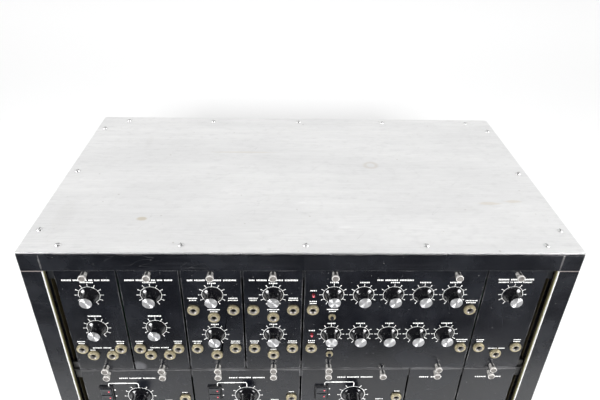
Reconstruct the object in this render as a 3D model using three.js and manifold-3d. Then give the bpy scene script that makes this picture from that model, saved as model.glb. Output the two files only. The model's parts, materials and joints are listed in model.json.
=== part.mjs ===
// A table-top modular synthesizer: an aluminium cabinet with two rows of module panels behind
// square black front bars, each module with its circuit board, sockets, controls and knobs.
// Millimetres, X to the right, Y to the back, Z up. The part stands on Z = 0, and its
// bounding box is centred on X = 0 and Y = 0.
import * as THREE from "three";
import { mergeVertices } from "three/addons/utils/BufferGeometryUtils.js";
import Module from "manifold-3d";

const wasm = await Module();
wasm.setup();

// Cabinet
const CASE_WIDTH = 540;
const CASE_DEPTH = 310;
const BAR = 20; // side of the square front bars and of the corner blocks
const BAR_GROOVE = 6; // width and depth of the groove in a stile's inner side
const SHEET = 2; // top plate, base plate and rear panel
const SIDE_SHEET = 3;
const PLATE_CORNER_RADIUS = 4;
const FOOT_HEIGHT = 8;
const FOOT_RADIUS = 9;
const FOOT_INSET = 35; // from the case's sides, front and back to a foot's centre

// Rows of modules
const UNITS = 8;
const ROWS = 2;
const SIDE_ROOM = 6.2; // between a stile and the row's end
const UNIT_PITCH = (CASE_WIDTH - 2 * (BAR + SIDE_ROOM)) / UNITS;
const PANEL_HEIGHT = 139.7;
const PANEL_THICKNESS = 2;
const PANEL_RECESS = 6; // from the front bars' faces back to the panels' faces
const PANEL_GAP = 2; // between neighbouring panels
const ROW_GAP = 2.5; // between the upper and the lower panels
const ROW_MARGIN = 4.2; // between a panel and the front bar above or below it
const RAIL_HEIGHT = 25;
const RAIL_DROP = 2; // from the gap's middle down to the rail's middle
const RAIL_DEPTH = 8;
const RAIL_RIB = 1.1; // the rail's rib that stands in the gap between two rows
const FLANGE_DROP = 16.5; // the header's flange below the bar, and the sill's above it
const FLANGE_THICKNESS = 3;

// Clearances
const SEAT_GAP = 0.3; // between pieces that rest on or face each other
const HOLE_CLEARANCE = 0.35; // around what passes through a round hole
const OVERRUN = 1; // how far a cutting body runs past the face that it cuts

// Places on a panel, measured down from its upper edge, as shares of its height
const DROP_SHARES = {
  dial: 0.2248,
  filterLowerDial: 0.5497,
  lowerDial: 0.622,
  upperSocket: 0.3658,
  upperCentreSocket: 0.4402,
  lowerSocket: 0.7638,
  lowestSocket: 0.8339,
  tuningDial: 0.3042,
  tuningSocket: 0.33,
  firstKey: 0.2276,
};
const DIAL_DROP = DROP_SHARES.dial * PANEL_HEIGHT;
const FILTER_LOWER_DIAL_DROP = DROP_SHARES.filterLowerDial * PANEL_HEIGHT;
const LOWER_DIAL_DROP = DROP_SHARES.lowerDial * PANEL_HEIGHT;
const UPPER_SOCKET_DROP = DROP_SHARES.upperSocket * PANEL_HEIGHT;
const UPPER_CENTRE_SOCKET_DROP = DROP_SHARES.upperCentreSocket * PANEL_HEIGHT;
const LOWER_SOCKET_DROP = DROP_SHARES.lowerSocket * PANEL_HEIGHT;
const LOWEST_SOCKET_DROP = DROP_SHARES.lowestSocket * PANEL_HEIGHT;
const TUNING_DIAL_DROP = DROP_SHARES.tuningDial * PANEL_HEIGHT;
const TUNING_SOCKET_DROP = DROP_SHARES.tuningSocket * PANEL_HEIGHT;
const KEY_DROP = DROP_SHARES.firstKey * PANEL_HEIGHT;

// Places across a panel
const KEY_BANK_OFFSET = 36.8; // from the oscillator's centre line to the left
const COLUMN = UNIT_PITCH / 6; // sockets stand one or two columns from a unit's centre line

// Captive panel screws
const SCREW_INSET = 4; // from a panel's upper or lower edge
const SCREW_LENGTH = 8;
const SCREW_HEAD_LENGTH = 1.6;
const SCREW_NECK_LENGTH = 0.9;
const SCREW_SHAFT_RADIUS = 2.75;
const SCREW_HEAD_RADIUS = 3.7;

// Circuit boards
const BOARD_THICKNESS = 1.6;
const BOARD_DEPTH = 16; // from the panel's face back to the board's front face
const BOARD_SIDE_MARGIN = 3;
const BOARD_END_MARGIN = 14;

// Sockets for 6.35 mm plugs
const SOCKET_BORE_RADIUS = 3.3;
const SOCKET_BODY_RADIUS = 4.7;
const SOCKET_NUT_RADIUS = 6.1;
const SOCKET_NUT_LENGTH = 2.2;
const SOCKET_DEPTH = 28; // from the panel's face to the back of a socket's body
const SOCKET_FLOOR = 1.5;

// Potentiometers and their knobs
const POT_RADIUS = 8;
const SHAFT_RADIUS = 3;
const SHAFT_LENGTH = 10.4; // in front of the panel
const KNOB_BORE_RADIUS = 3.4;
const KNOB_BORE_END = 11; // the bore's closed end, in front of the panel
const KNOB_LIFT = 0.8; // between the panel and a knob's skirt
const KNOB_HEIGHT = 13; // from the panel to the cap's face
const KNOB_CAP_RADIUS = 6.2;
const KNOB_WAIST_RADIUS = 6.6;
const KNOB_WAIST_HEIGHT = 6;
const KNOB_SKIRT_RADIUS = 9.7;
const KNOB_RIM_HEIGHT = 2.2;
const TUNING_KNOB_HEIGHT = 18;
const TUNING_KNOB_CAP_RADIUS = 8.2;
const TUNING_KNOB_WAIST_RADIUS = 8.7;
const TUNING_KNOB_WAIST_HEIGHT = 6.5;
const TUNING_KNOB_SKIRT_RADIUS = 12;
const TUNING_KNOB_RIM_HEIGHT = 2.4;

// Push buttons and lamps of the envelope module
const BUTTON_RADIUS = 1.9;
const BUTTON_PROUD = 4.2;
const BUTTON_LENGTH = 10.2;
const BUTTON_TRAVEL = 1.6;
const BUTTON_SLEEVE_RADIUS = 3;
const BUTTON_NUT_RADIUS = 3.8;
const BUTTON_NUT_LENGTH = 1.5;
const LAMP_RADIUS = 1.6;
const LAMP_PROUD = 3.4;
const LAMP_DOME = 1.2;
const LAMP_TIP_RADIUS = 0.8;

// Key banks of the oscillators
const KEYS = 2;
const KEY_PITCH = 10.4;
const KEY_WIDTH = 13;
const KEY_SPACE = 0.6; // between two keys
const KEY_PROUD = 3;
const KEY_TRAVEL = 1.8;
const KEY_LENGTH = 11.4;
const KEY_FACE_BEVEL = 1.2;
const BANK_PROUD = 2;
const BANK_WALL = 0.7;

// Power supply
const SUPPLY_WIDTH = 130;
const SUPPLY_DEPTH = 85;
const SUPPLY_HEIGHT = 60;
const SUPPLY_INSET = 120; // from the case's left side to the supply's middle
const SUPPLY_RAISE = 34; // above the base plate
const INLET_WIDTH = 28;
const INLET_HEIGHT = 21;
const INLET_PROUD = 1.5;
const INLET_WALL = 2;
const INLET_RECESS = 15;
const VENTS = 9;
const VENT_WIDTH = 3;
const VENT_LENGTH = 60;
const VENT_PITCH = 9;
const VENT_RAISE = 178; // from the base plate to the middle of the slots

// Round pieces are prisms with this many sides.
const SMALL_SIDES = 8;
const KNOB_SIDES = 12;
const FOOT_SIDES = 16;
const CORNER_STEPS = 3;

// Sizes that follow
const FRAME_HEIGHT = 2 * (BAR + ROW_MARGIN) + ROWS * PANEL_HEIGHT + (ROWS - 1) * ROW_GAP;
const ROW_PITCH = PANEL_HEIGHT + ROW_GAP;
const HALF_WIDTH = CASE_WIDTH / 2;
const BAR_END = HALF_WIDTH - BAR - SEAT_GAP; // half the length of the bars between the stiles
const SUPPLY_OFFSET = HALF_WIDTH - SUPPLY_INSET; // from the cabinet's centre line to the left
const SHEET_BACK = CASE_DEPTH - SHEET; // the rear panel's inner face
const SIDE_BACK = SHEET_BACK - SEAT_GAP;
const RAIL_FRONT = PANEL_RECESS + PANEL_THICKNESS + SEAT_GAP;
const FRONT_REACH = TUNING_KNOB_HEIGHT - PANEL_RECESS; // how far the largest knob stands out
const BANK_WIDTH = KEY_WIDTH + 2 * (SEAT_GAP + BANK_WALL);
const BANK_HEIGHT = KEYS * KEY_PITCH - KEY_SPACE + 2 * (SEAT_GAP + BANK_WALL);
const BANK_CENTRE_DROP = KEY_DROP + ((KEYS - 1) * KEY_PITCH) / 2;
const KEY_POCKET_END = KEY_LENGTH - KEY_PROUD + KEY_TRAVEL + SEAT_GAP;
const BUTTON_BORE_END = BUTTON_LENGTH - BUTTON_PROUD + BUTTON_TRAVEL + SEAT_GAP;
const KNOB = {
  height: KNOB_HEIGHT,
  cap: KNOB_CAP_RADIUS,
  waist: KNOB_WAIST_RADIUS,
  waistHeight: KNOB_WAIST_HEIGHT,
  skirt: KNOB_SKIRT_RADIUS,
  rim: KNOB_RIM_HEIGHT,
};
const TUNING_KNOB = {
  height: TUNING_KNOB_HEIGHT,
  cap: TUNING_KNOB_CAP_RADIUS,
  waist: TUNING_KNOB_WAIST_RADIUS,
  waistHeight: TUNING_KNOB_WAIST_HEIGHT,
  skirt: TUNING_KNOB_SKIRT_RADIUS,
  rim: TUNING_KNOB_RIM_HEIGHT,
};

// Finishes
function finish(color, roughness, metalness) {
  return new THREE.MeshStandardMaterial({ color, roughness, metalness });
}
const BARE_ALUMINIUM = finish(0xe6e6e4, 0.45, 0.9);
const BLACK_BAR = finish(0x1c1c1f, 0.3, 0.5);
const BLACK_PANEL = finish(0x232326, 0.35, 0.3);
const RAIL_METAL = finish(0x8a8a8c, 0.4, 0.9);
const BOARD_GREEN = finish(0x1f4a35, 0.6, 0);
const KNOB_BLACK = finish(0x0c0c0d, 0.15, 0);
const KEY_BLACK = finish(0x2b2b2e, 0.4, 0);
const SUPPLY_METAL = finish(0xa9abad, 0.4, 0.9);

// Solids: a closed geometry becomes a body that can be joined and cut, and goes back.
function solidOf(geometry, x = 0, y = 0, z = 0) {
  const bare = geometry.clone();
  bare.deleteAttribute("normal");
  bare.deleteAttribute("uv");
  bare.translate(x, y, z);
  const merged = mergeVertices(bare);
  return new wasm.Manifold(
    new wasm.Mesh({
      numProp: 3,
      vertProperties: merged.attributes.position.array,
      triVerts: new Uint32Array(merged.index.array),
    }),
  );
}

function geometryOf(solid) {
  const mesh = solid.getMesh();
  const geometry = new THREE.BufferGeometry();
  geometry.setAttribute("position", new THREE.BufferAttribute(mesh.vertProperties, 3));
  geometry.setIndex(new THREE.BufferAttribute(mesh.triVerts, 1));
  return geometry;
}

// A box between two values on each axis.
function block([left, right], [front, back], [bottom, top]) {
  const geometry = new THREE.BoxGeometry(right - left, back - front, top - bottom);
  return solidOf(geometry, (left + right) / 2, (front + back) / 2, (bottom + top) / 2);
}

// A profile of [radius, y] points, from front to back, turned round the Y axis.
function turned(profile, sides) {
  return new THREE.LatheGeometry(
    profile.map(([radius, y]) => new THREE.Vector2(radius, y)),
    sides,
  );
}

// A round cutter along Y between two depths.
function drill(radius, sides, x, z, front, back) {
  const geometry = new THREE.CylinderGeometry(radius, radius, back - front, sides);
  return solidOf(geometry, x, (front + back) / 2, z);
}

function join(solids) {
  return solids.reduce((sum, solid) => sum.add(solid));
}

function cut(solid, cutters) {
  return cutters.reduce((rest, cutter) => rest.subtract(cutter), solid);
}

function named(name, geometry, material) {
  const mesh = new THREE.Mesh(geometry, material);
  mesh.name = name;
  return mesh;
}

// The cabinet's pieces stand in a frame of their own: Y = 0 on the front bars' faces and
// Z = 0 on the base plate.
function topPlate() {
  const outline = new THREE.Shape();
  const x = HALF_WIDTH - PLATE_CORNER_RADIUS;
  const back = CASE_DEPTH - PLATE_CORNER_RADIUS;
  outline.moveTo(-HALF_WIDTH, 0);
  outline.lineTo(HALF_WIDTH, 0);
  outline.absarc(x, back, PLATE_CORNER_RADIUS, 0, Math.PI / 2);
  outline.absarc(-x, back, PLATE_CORNER_RADIUS, Math.PI / 2, Math.PI);
  outline.closePath();
  const plate = new THREE.ExtrudeGeometry(outline, {
    depth: SHEET,
    bevelEnabled: false,
    curveSegments: CORNER_STEPS,
  });
  const solid = solidOf(plate, 0, 0, FRAME_HEIGHT + SEAT_GAP);
  return named("top_plate", geometryOf(solid), BARE_ALUMINIUM);
}

// The base plate with its foot bosses, and the front sill with the flange that holds the
// lower panels' screws.
function baseTray() {
  const across = [-HALF_WIDTH, HALF_WIDTH];
  const between = [-BAR_END, BAR_END];
  const flange = [RAIL_FRONT, RAIL_FRONT + FLANGE_THICKNESS];
  const pieces = [
    block(across, [0, CASE_DEPTH], [-SHEET, 0]),
    block(between, [0, BAR], [0, BAR]),
    block(between, flange, [0, BAR + FLANGE_DROP]),
  ];
  for (const x of [FOOT_INSET - HALF_WIDTH, HALF_WIDTH - FOOT_INSET]) {
    for (const y of [FOOT_INSET, CASE_DEPTH - FOOT_INSET]) {
      const foot = new THREE.CylinderGeometry(FOOT_RADIUS, FOOT_RADIUS, FOOT_HEIGHT, FOOT_SIDES);
      foot.rotateX(Math.PI / 2);
      pieces.push(solidOf(foot, x, y, -SHEET - FOOT_HEIGHT / 2));
    }
  }
  return named("base_tray", geometryOf(join(pieces)), BLACK_BAR);
}

// A side sheet behind the stile, with the two bars whose front ends are the corner blocks.
function side(name, sign) {
  const span = (from, to) => [from, to].map((x) => sign * x).sort((a, b) => a - b);
  const bar = span(HALF_WIDTH - BAR, HALF_WIDTH);
  const solid = join([
    block(bar, [0, SIDE_BACK], [FRAME_HEIGHT - BAR, FRAME_HEIGHT]),
    block(bar, [0, SIDE_BACK], [SEAT_GAP, BAR]),
    block(
      span(HALF_WIDTH - SIDE_SHEET, HALF_WIDTH),
      [BAR + SEAT_GAP, SIDE_BACK],
      [SEAT_GAP, FRAME_HEIGHT],
    ),
  ]);
  return named(name, geometryOf(solid), BLACK_BAR);
}

function stile(name, sign) {
  const span = (from, to) => [from, to].map((x) => sign * x).sort((a, b) => a - b);
  const height = [BAR + SEAT_GAP, FRAME_HEIGHT - BAR - SEAT_GAP];
  const middle = BAR / 2;
  const groove = block(
    span(HALF_WIDTH - BAR - OVERRUN, HALF_WIDTH - BAR + BAR_GROOVE),
    [middle - BAR_GROOVE / 2, middle + BAR_GROOVE / 2],
    [height[0] - OVERRUN, height[1] + OVERRUN],
  );
  const solid = block(span(HALF_WIDTH - BAR, HALF_WIDTH), [0, BAR], height).subtract(groove);
  return named(name, geometryOf(solid), BLACK_BAR);
}

function header() {
  const between = [-BAR_END, BAR_END];
  const flange = [RAIL_FRONT, RAIL_FRONT + FLANGE_THICKNESS];
  const solid = join([
    block(between, [0, BAR], [FRAME_HEIGHT - BAR, FRAME_HEIGHT]),
    block(between, flange, [FRAME_HEIGHT - BAR - FLANGE_DROP, FRAME_HEIGHT]),
  ]);
  return named("front_header", geometryOf(solid), BLACK_BAR);
}

// The rail behind the gap below row number `row`, with its rib in that gap.
function rail(row) {
  const z = FRAME_HEIGHT - BAR - ROW_MARGIN - row * ROW_PITCH + ROW_GAP / 2;
  const middle = z - RAIL_DROP;
  const height = [middle - RAIL_HEIGHT / 2, middle + RAIL_HEIGHT / 2];
  const between = [-BAR_END, BAR_END];
  const solid = join([
    block(between, [RAIL_FRONT, RAIL_FRONT + RAIL_DEPTH], height),
    block(between, [PANEL_RECESS + SEAT_GAP, RAIL_FRONT + RAIL_DEPTH], [z - RAIL_RIB / 2, z + RAIL_RIB / 2]),
  ]);
  return named("middle_rail_" + row, geometryOf(solid), RAIL_METAL);
}

// The rear panel with its two stiffening bars, the inlet's cut-out and the air slots.
function rearPanel() {
  const between = [-BAR_END, BAR_END];
  const bar = [SHEET_BACK - BAR, SHEET_BACK];
  const plate = join([
    block([-HALF_WIDTH, HALF_WIDTH], [SHEET_BACK, CASE_DEPTH], [SEAT_GAP, FRAME_HEIGHT]),
    block(between, bar, [FRAME_HEIGHT - BAR, FRAME_HEIGHT]),
    block(between, bar, [SEAT_GAP, BAR]),
  ]);
  const depth = [SHEET_BACK - OVERRUN, CASE_DEPTH + OVERRUN];
  const halfWidth = INLET_WIDTH / 2 + SEAT_GAP;
  const halfHeight = INLET_HEIGHT / 2 + SEAT_GAP;
  const z = SUPPLY_RAISE + SUPPLY_HEIGHT / 2;
  const cutters = [
    block([-SUPPLY_OFFSET - halfWidth, -SUPPLY_OFFSET + halfWidth], depth, [z - halfHeight, z + halfHeight]),
  ];
  for (let i = 0; i < VENTS; i++) {
    const x = -SUPPLY_OFFSET + (i - (VENTS - 1) / 2) * VENT_PITCH;
    cutters.push(
      block(
        [x - VENT_WIDTH / 2, x + VENT_WIDTH / 2],
        depth,
        [VENT_RAISE - VENT_LENGTH / 2, VENT_RAISE + VENT_LENGTH / 2],
      ),
    );
  }
  return named("rear_panel", geometryOf(cut(plate, cutters)), BARE_ALUMINIUM);
}

// The power supply on the rear panel, with the mains inlet that comes out through it.
function powerSupply() {
  const z = SUPPLY_RAISE + SUPPLY_HEIGHT / 2;
  const shell = (halfWidth, halfHeight, front, back) =>
    block([-halfWidth, halfWidth], [front, back], [z - halfHeight, z + halfHeight]);
  const inletBack = CASE_DEPTH + INLET_PROUD;
  const boxBack = SHEET_BACK - SEAT_GAP;
  const solid = shell(SUPPLY_WIDTH / 2, SUPPLY_HEIGHT / 2, boxBack - SUPPLY_DEPTH, boxBack)
    .add(shell(INLET_WIDTH / 2, INLET_HEIGHT / 2, boxBack - SHEET, inletBack))
    .subtract(
      shell(
        INLET_WIDTH / 2 - INLET_WALL,
        INLET_HEIGHT / 2 - INLET_WALL,
        inletBack - INLET_RECESS,
        inletBack + OVERRUN,
      ),
    );
  const mesh = named("power_supply", geometryOf(solid), SUPPLY_METAL);
  mesh.position.x = -SUPPLY_OFFSET;
  return mesh;
}

// A module's pieces stand in the module's own frame: X = 0 on its centre line, Y = 0 on the
// panel's face and Z = 0 at the panel's upper edge. A place is [x, drop].
const SOCKET_PROFILE = [
  [0, -SEAT_GAP - SOCKET_NUT_LENGTH],
  [SOCKET_NUT_RADIUS, -SEAT_GAP - SOCKET_NUT_LENGTH],
  [SOCKET_NUT_RADIUS, -SEAT_GAP],
  [SOCKET_BODY_RADIUS, -SEAT_GAP],
  [SOCKET_BODY_RADIUS, SOCKET_DEPTH],
  [0, SOCKET_DEPTH],
];
const POT_PROFILE = [
  [0, -SHAFT_LENGTH],
  [SHAFT_RADIUS, -SHAFT_LENGTH],
  [SHAFT_RADIUS, PANEL_THICKNESS + SEAT_GAP],
  [POT_RADIUS, PANEL_THICKNESS + SEAT_GAP],
  [POT_RADIUS, BOARD_DEPTH + BOARD_THICKNESS / 2],
  [0, BOARD_DEPTH + BOARD_THICKNESS / 2],
];
const BUTTON_SLEEVE_PROFILE = [
  [0, -SEAT_GAP - BUTTON_NUT_LENGTH],
  [BUTTON_NUT_RADIUS, -SEAT_GAP - BUTTON_NUT_LENGTH],
  [BUTTON_NUT_RADIUS, -SEAT_GAP],
  [BUTTON_SLEEVE_RADIUS, -SEAT_GAP],
  [BUTTON_SLEEVE_RADIUS, BOARD_DEPTH + BOARD_THICKNESS / 2],
  [0, BOARD_DEPTH + BOARD_THICKNESS / 2],
];
const LAMP_PROFILE = [
  [0, -LAMP_PROUD],
  [LAMP_TIP_RADIUS, -LAMP_PROUD],
  [LAMP_RADIUS, LAMP_DOME - LAMP_PROUD],
  [LAMP_RADIUS, BOARD_DEPTH + BOARD_THICKNESS / 2],
  [0, BOARD_DEPTH + BOARD_THICKNESS / 2],
];
const SCREW_PROFILE = [
  [0, -SCREW_LENGTH],
  [SCREW_HEAD_RADIUS, -SCREW_LENGTH],
  [SCREW_HEAD_RADIUS, SCREW_HEAD_LENGTH - SCREW_LENGTH],
  [SCREW_SHAFT_RADIUS, SCREW_HEAD_LENGTH + SCREW_NECK_LENGTH - SCREW_LENGTH],
  [SCREW_SHAFT_RADIUS, PANEL_THICKNESS / 2],
  [0, PANEL_THICKNESS / 2],
];

// What stands on a board at one place, and what it takes out of the board's pieces.
const FITTINGS = {
  socket: {
    profile: SOCKET_PROFILE,
    bore: [SOCKET_BORE_RADIUS, SOCKET_DEPTH - SOCKET_FLOOR],
    hole: SOCKET_BODY_RADIUS + HOLE_CLEARANCE,
  },
  pot: { profile: POT_PROFILE, hole: SHAFT_RADIUS + HOLE_CLEARANCE },
  button: {
    profile: BUTTON_SLEEVE_PROFILE,
    bore: [BUTTON_RADIUS + HOLE_CLEARANCE, BUTTON_BORE_END],
    hole: BUTTON_SLEEVE_RADIUS + HOLE_CLEARANCE,
  },
  lamp: { profile: LAMP_PROFILE, hole: LAMP_RADIUS + HOLE_CLEARANCE },
};

function fittingSolid(kind, [x, drop]) {
  return solidOf(turned(FITTINGS[kind].profile, SMALL_SIDES), x, 0, -drop);
}

// The key bank's housing on the board, open at the front around its keys.
function bankBlock(grow, front, back) {
  const halfWidth = BANK_WIDTH / 2 + grow;
  const halfHeight = BANK_HEIGHT / 2 + grow;
  return block(
    [-KEY_BANK_OFFSET - halfWidth, -KEY_BANK_OFFSET + halfWidth],
    [front, back],
    [-BANK_CENTRE_DROP - halfHeight, -BANK_CENTRE_DROP + halfHeight],
  );
}

function panelMesh(module) {
  const halfWidth = (module.units * UNIT_PITCH - PANEL_GAP) / 2;
  const pieces = [block([-halfWidth, halfWidth], [0, PANEL_THICKNESS], [-PANEL_HEIGHT, 0])];
  for (const x of module.screws) {
    for (const drop of [SCREW_INSET, PANEL_HEIGHT - SCREW_INSET]) {
      pieces.push(solidOf(turned(SCREW_PROFILE, SMALL_SIDES), x, 0, -drop));
    }
  }
  const through = [-OVERRUN, PANEL_THICKNESS + OVERRUN];
  const cutters = module.fittings.map(([kind, [x, drop]]) =>
    drill(FITTINGS[kind].hole, SMALL_SIDES, x, -drop, ...through),
  );
  if (module.keyBank) cutters.push(bankBlock(SEAT_GAP, ...through));
  const solid = cut(join(pieces), cutters);
  return named(module.name + "_panel", geometryOf(solid), BLACK_PANEL);
}

function boardMesh(module) {
  const halfWidth = (module.units * UNIT_PITCH - PANEL_GAP) / 2 - BOARD_SIDE_MARGIN;
  const pieces = [
    block(
      [-halfWidth, halfWidth],
      [BOARD_DEPTH, BOARD_DEPTH + BOARD_THICKNESS],
      [BOARD_END_MARGIN - PANEL_HEIGHT, -BOARD_END_MARGIN],
    ),
  ];
  const cutters = [];
  for (const [kind, [x, drop]] of module.fittings) {
    pieces.push(fittingSolid(kind, [x, drop]));
    if (FITTINGS[kind].bore) {
      const [radius, end] = FITTINGS[kind].bore;
      const front = -SEAT_GAP - SOCKET_NUT_LENGTH - OVERRUN;
      cutters.push(drill(radius, SMALL_SIDES, x, -drop, front, end));
    }
  }
  if (module.keyBank) {
    pieces.push(bankBlock(0, -BANK_PROUD, BOARD_DEPTH + BOARD_THICKNESS / 2));
    cutters.push(bankBlock(-BANK_WALL, -BANK_PROUD - OVERRUN, KEY_POCKET_END));
  }
  return named(module.name + "_board", geometryOf(cut(join(pieces), cutters)), BOARD_GREEN);
}

function knobGeometry(size) {
  return turned(
    [
      [0, -size.height],
      [size.cap, -size.height],
      [size.waist, -size.waistHeight],
      [size.skirt, -size.rim],
      [size.skirt, -KNOB_LIFT],
      [KNOB_BORE_RADIUS, -KNOB_LIFT],
      [KNOB_BORE_RADIUS, -KNOB_BORE_END],
      [0, -KNOB_BORE_END],
    ],
    KNOB_SIDES,
  );
}

function buttonGeometry() {
  return turned(
    [
      [0, -BUTTON_PROUD],
      [BUTTON_RADIUS, -BUTTON_PROUD],
      [BUTTON_RADIUS, BUTTON_LENGTH - BUTTON_PROUD],
      [0, BUTTON_LENGTH - BUTTON_PROUD],
    ],
    SMALL_SIDES,
  );
}

// A key: a bevelled front over a straight shank that slides in the bank.
function keyGeometry() {
  const x = KEY_WIDTH / 2;
  const z = (KEY_PITCH - KEY_SPACE) / 2;
  const outline = new THREE.Shape([
    new THREE.Vector2(-KEY_PROUD, KEY_FACE_BEVEL - z),
    new THREE.Vector2(KEY_FACE_BEVEL - KEY_PROUD, -z),
    new THREE.Vector2(KEY_LENGTH - KEY_PROUD, -z),
    new THREE.Vector2(KEY_LENGTH - KEY_PROUD, z),
    new THREE.Vector2(KEY_FACE_BEVEL - KEY_PROUD, z),
    new THREE.Vector2(-KEY_PROUD, z - KEY_FACE_BEVEL),
  ]);
  const geometry = new THREE.ExtrudeGeometry(outline, { depth: KEY_WIDTH, bevelEnabled: false });
  // The outline's first axis becomes Y and its second Z, so the extrusion runs along X.
  geometry.applyMatrix4(new THREE.Matrix4().set(0, 0, 1, -x, 1, 0, 0, 0, 0, 1, 0, 0, 0, 0, 0, 1));
  return geometry;
}

function placed(mesh, [x, drop]) {
  mesh.position.set(x, 0, -drop);
  return mesh;
}

// The sockets that every filter and shaper has at its foot: an outer and an inner pair.
const FOOT_PAIR = [
  ["socket", [-2 * COLUMN, LOWER_SOCKET_DROP]],
  ["socket", [2 * COLUMN, LOWER_SOCKET_DROP]],
];

function filterModule(name, unit) {
  return {
    name,
    row: 0,
    unit,
    units: 1,
    screws: [0],
    knobs: [
      ["cutoff_knob", KNOB, [0, DIAL_DROP]],
      ["resonance_knob", KNOB, [0, FILTER_LOWER_DIAL_DROP]],
    ],
    sockets: [
      ...FOOT_PAIR,
      ["socket", [-COLUMN, LOWEST_SOCKET_DROP]],
      ["socket", [COLUMN, LOWEST_SOCKET_DROP]],
    ],
  };
}

function amplifierModule(name, unit) {
  return {
    name,
    row: 0,
    unit,
    units: 1,
    screws: [0],
    knobs: [
      ["level_knob_1", KNOB, [0, DIAL_DROP]],
      ["level_knob_2", KNOB, [0, LOWER_DIAL_DROP]],
    ],
    sockets: [
      ["socket", [-2 * COLUMN, UPPER_SOCKET_DROP]],
      ["socket", [2 * COLUMN, UPPER_SOCKET_DROP]],
      ["socket", [0, UPPER_CENTRE_SOCKET_DROP]],
      ...FOOT_PAIR,
      ["socket", [0, LOWEST_SOCKET_DROP]],
    ],
  };
}

// Two envelope generators one above the other: five dials each, with a lamp and a socket to
// their left, a push button below the first dial and a socket below the last one.
function envelopeModule(name, unit) {
  const dialPitch = UNIT_PITCH / 2;
  const edge = UNIT_PITCH + 2 * COLUMN;
  const stages = ["delay", "attack", "decay", "sustain", "release"];
  const generators = [
    [DIAL_DROP, UPPER_SOCKET_DROP, UPPER_CENTRE_SOCKET_DROP],
    [LOWER_DIAL_DROP, LOWER_SOCKET_DROP, LOWEST_SOCKET_DROP],
  ];
  const module = { name, row: 0, unit, units: 3, knobs: [], sockets: [], buttons: [] };
  module.screws = [-UNIT_PITCH, UNIT_PITCH];
  generators.forEach(([dialDrop, socketDrop, buttonDrop], i) => {
    stages.forEach((stage, k) => {
      const x = (k - (stages.length - 1) / 2) * dialPitch;
      module.knobs.push([stage + "_knob_" + (i + 1), KNOB, [x, dialDrop]]);
    });
    module.sockets.push(
      ["lamp", [-edge, dialDrop]],
      ["socket", [-edge, socketDrop]],
      ["socket", [edge, socketDrop]],
    );
    module.buttons.push(["trigger_button_" + (i + 1), [-2 * dialPitch, buttonDrop]]);
  });
  return module;
}

function shaperModule(name, unit) {
  return {
    name,
    row: 0,
    unit,
    units: 1,
    screws: [0],
    knobs: [["shape_knob", KNOB, [0, DIAL_DROP]]],
    sockets: [...FOOT_PAIR, ["socket", [0, LOWEST_SOCKET_DROP]]],
  };
}

function oscillatorModule(name, unit) {
  return {
    name,
    row: 1,
    unit,
    units: 2,
    screws: [-UNIT_PITCH / 2, UNIT_PITCH / 2],
    knobs: [["tuning_knob", TUNING_KNOB, [0, TUNING_DIAL_DROP]]],
    sockets: [["socket", [UNIT_PITCH / 2 + 2 * COLUMN, TUNING_SOCKET_DROP]]],
    keyBank: true,
  };
}

function plainModule(name, unit) {
  return { name, row: 1, unit, units: 1, screws: [0], knobs: [], sockets: [] };
}

const MODULES = [
  filterModule("filter_a", 0),
  filterModule("filter_b", 1),
  amplifierModule("amplifier_a", 2),
  amplifierModule("amplifier_b", 3),
  envelopeModule("envelope", 4),
  shaperModule("shaper", 7),
  oscillatorModule("oscillator_a", 0),
  oscillatorModule("oscillator_b", 2),
  oscillatorModule("oscillator_c", 4),
  plainModule("mixer", 6),
  plainModule("output", 7),
];

function moduleGroup(module) {
  const group = new THREE.Group();
  const pots = module.knobs.map(([, , place]) => ["pot", place]);
  const sleeves = (module.buttons || []).map(([, place]) => ["button", place]);
  module.fittings = [...module.sockets, ...pots, ...sleeves];
  group.add(panelMesh(module));
  if (module.fittings.length) group.add(boardMesh(module));
  for (const [name, size, place] of module.knobs) {
    const mesh = named(module.name + "_" + name, knobGeometry(size), KNOB_BLACK);
    group.add(placed(mesh, place));
  }
  for (const [name, place] of module.buttons || []) {
    group.add(placed(named(module.name + "_" + name, buttonGeometry(), KEY_BLACK), place));
  }
  for (let i = 0; module.keyBank && i < KEYS; i++) {
    const mesh = named(module.name + "_key_" + (i + 1), keyGeometry(), KEY_BLACK);
    group.add(placed(mesh, [-KEY_BANK_OFFSET, KEY_DROP + i * KEY_PITCH]));
  }
  group.position.set(
    (module.unit + module.units / 2 - UNITS / 2) * UNIT_PITCH,
    PANEL_RECESS,
    FRAME_HEIGHT - BAR - ROW_MARGIN - module.row * ROW_PITCH,
  );
  return group;
}

const cabinet = new THREE.Group();
cabinet.add(topPlate(), baseTray(), rearPanel(), header());
cabinet.add(side("left_side", -1), side("right_side", 1));
cabinet.add(stile("left_stile", -1), stile("right_stile", 1));
for (let row = 1; row < ROWS; row++) cabinet.add(rail(row));
cabinet.add(powerSupply());
MODULES.forEach((module) => cabinet.add(moduleGroup(module)));
cabinet.position.y = FRONT_REACH - (FRONT_REACH + CASE_DEPTH + INLET_PROUD) / 2;
cabinet.position.z = SHEET + FOOT_HEIGHT;

const group = new THREE.Group();
group.add(cabinet);

export default group;
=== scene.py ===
"""Looks of a table-top modular synthesizer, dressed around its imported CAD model.

Shapes are worked out in millimetres as whole numpy arrays and go into metres with their mesh.
X runs to the right, Y to the back and Z up, and the panels face the front. A shape is
(points, faces, reach): faces have four corners each, a triangle names its last corner twice,
and reach is each point's distance from the axis that its profile was turned about.
"""

import json
import math

import bpy
import numpy as np
from mathutils import Matrix, Vector


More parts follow.
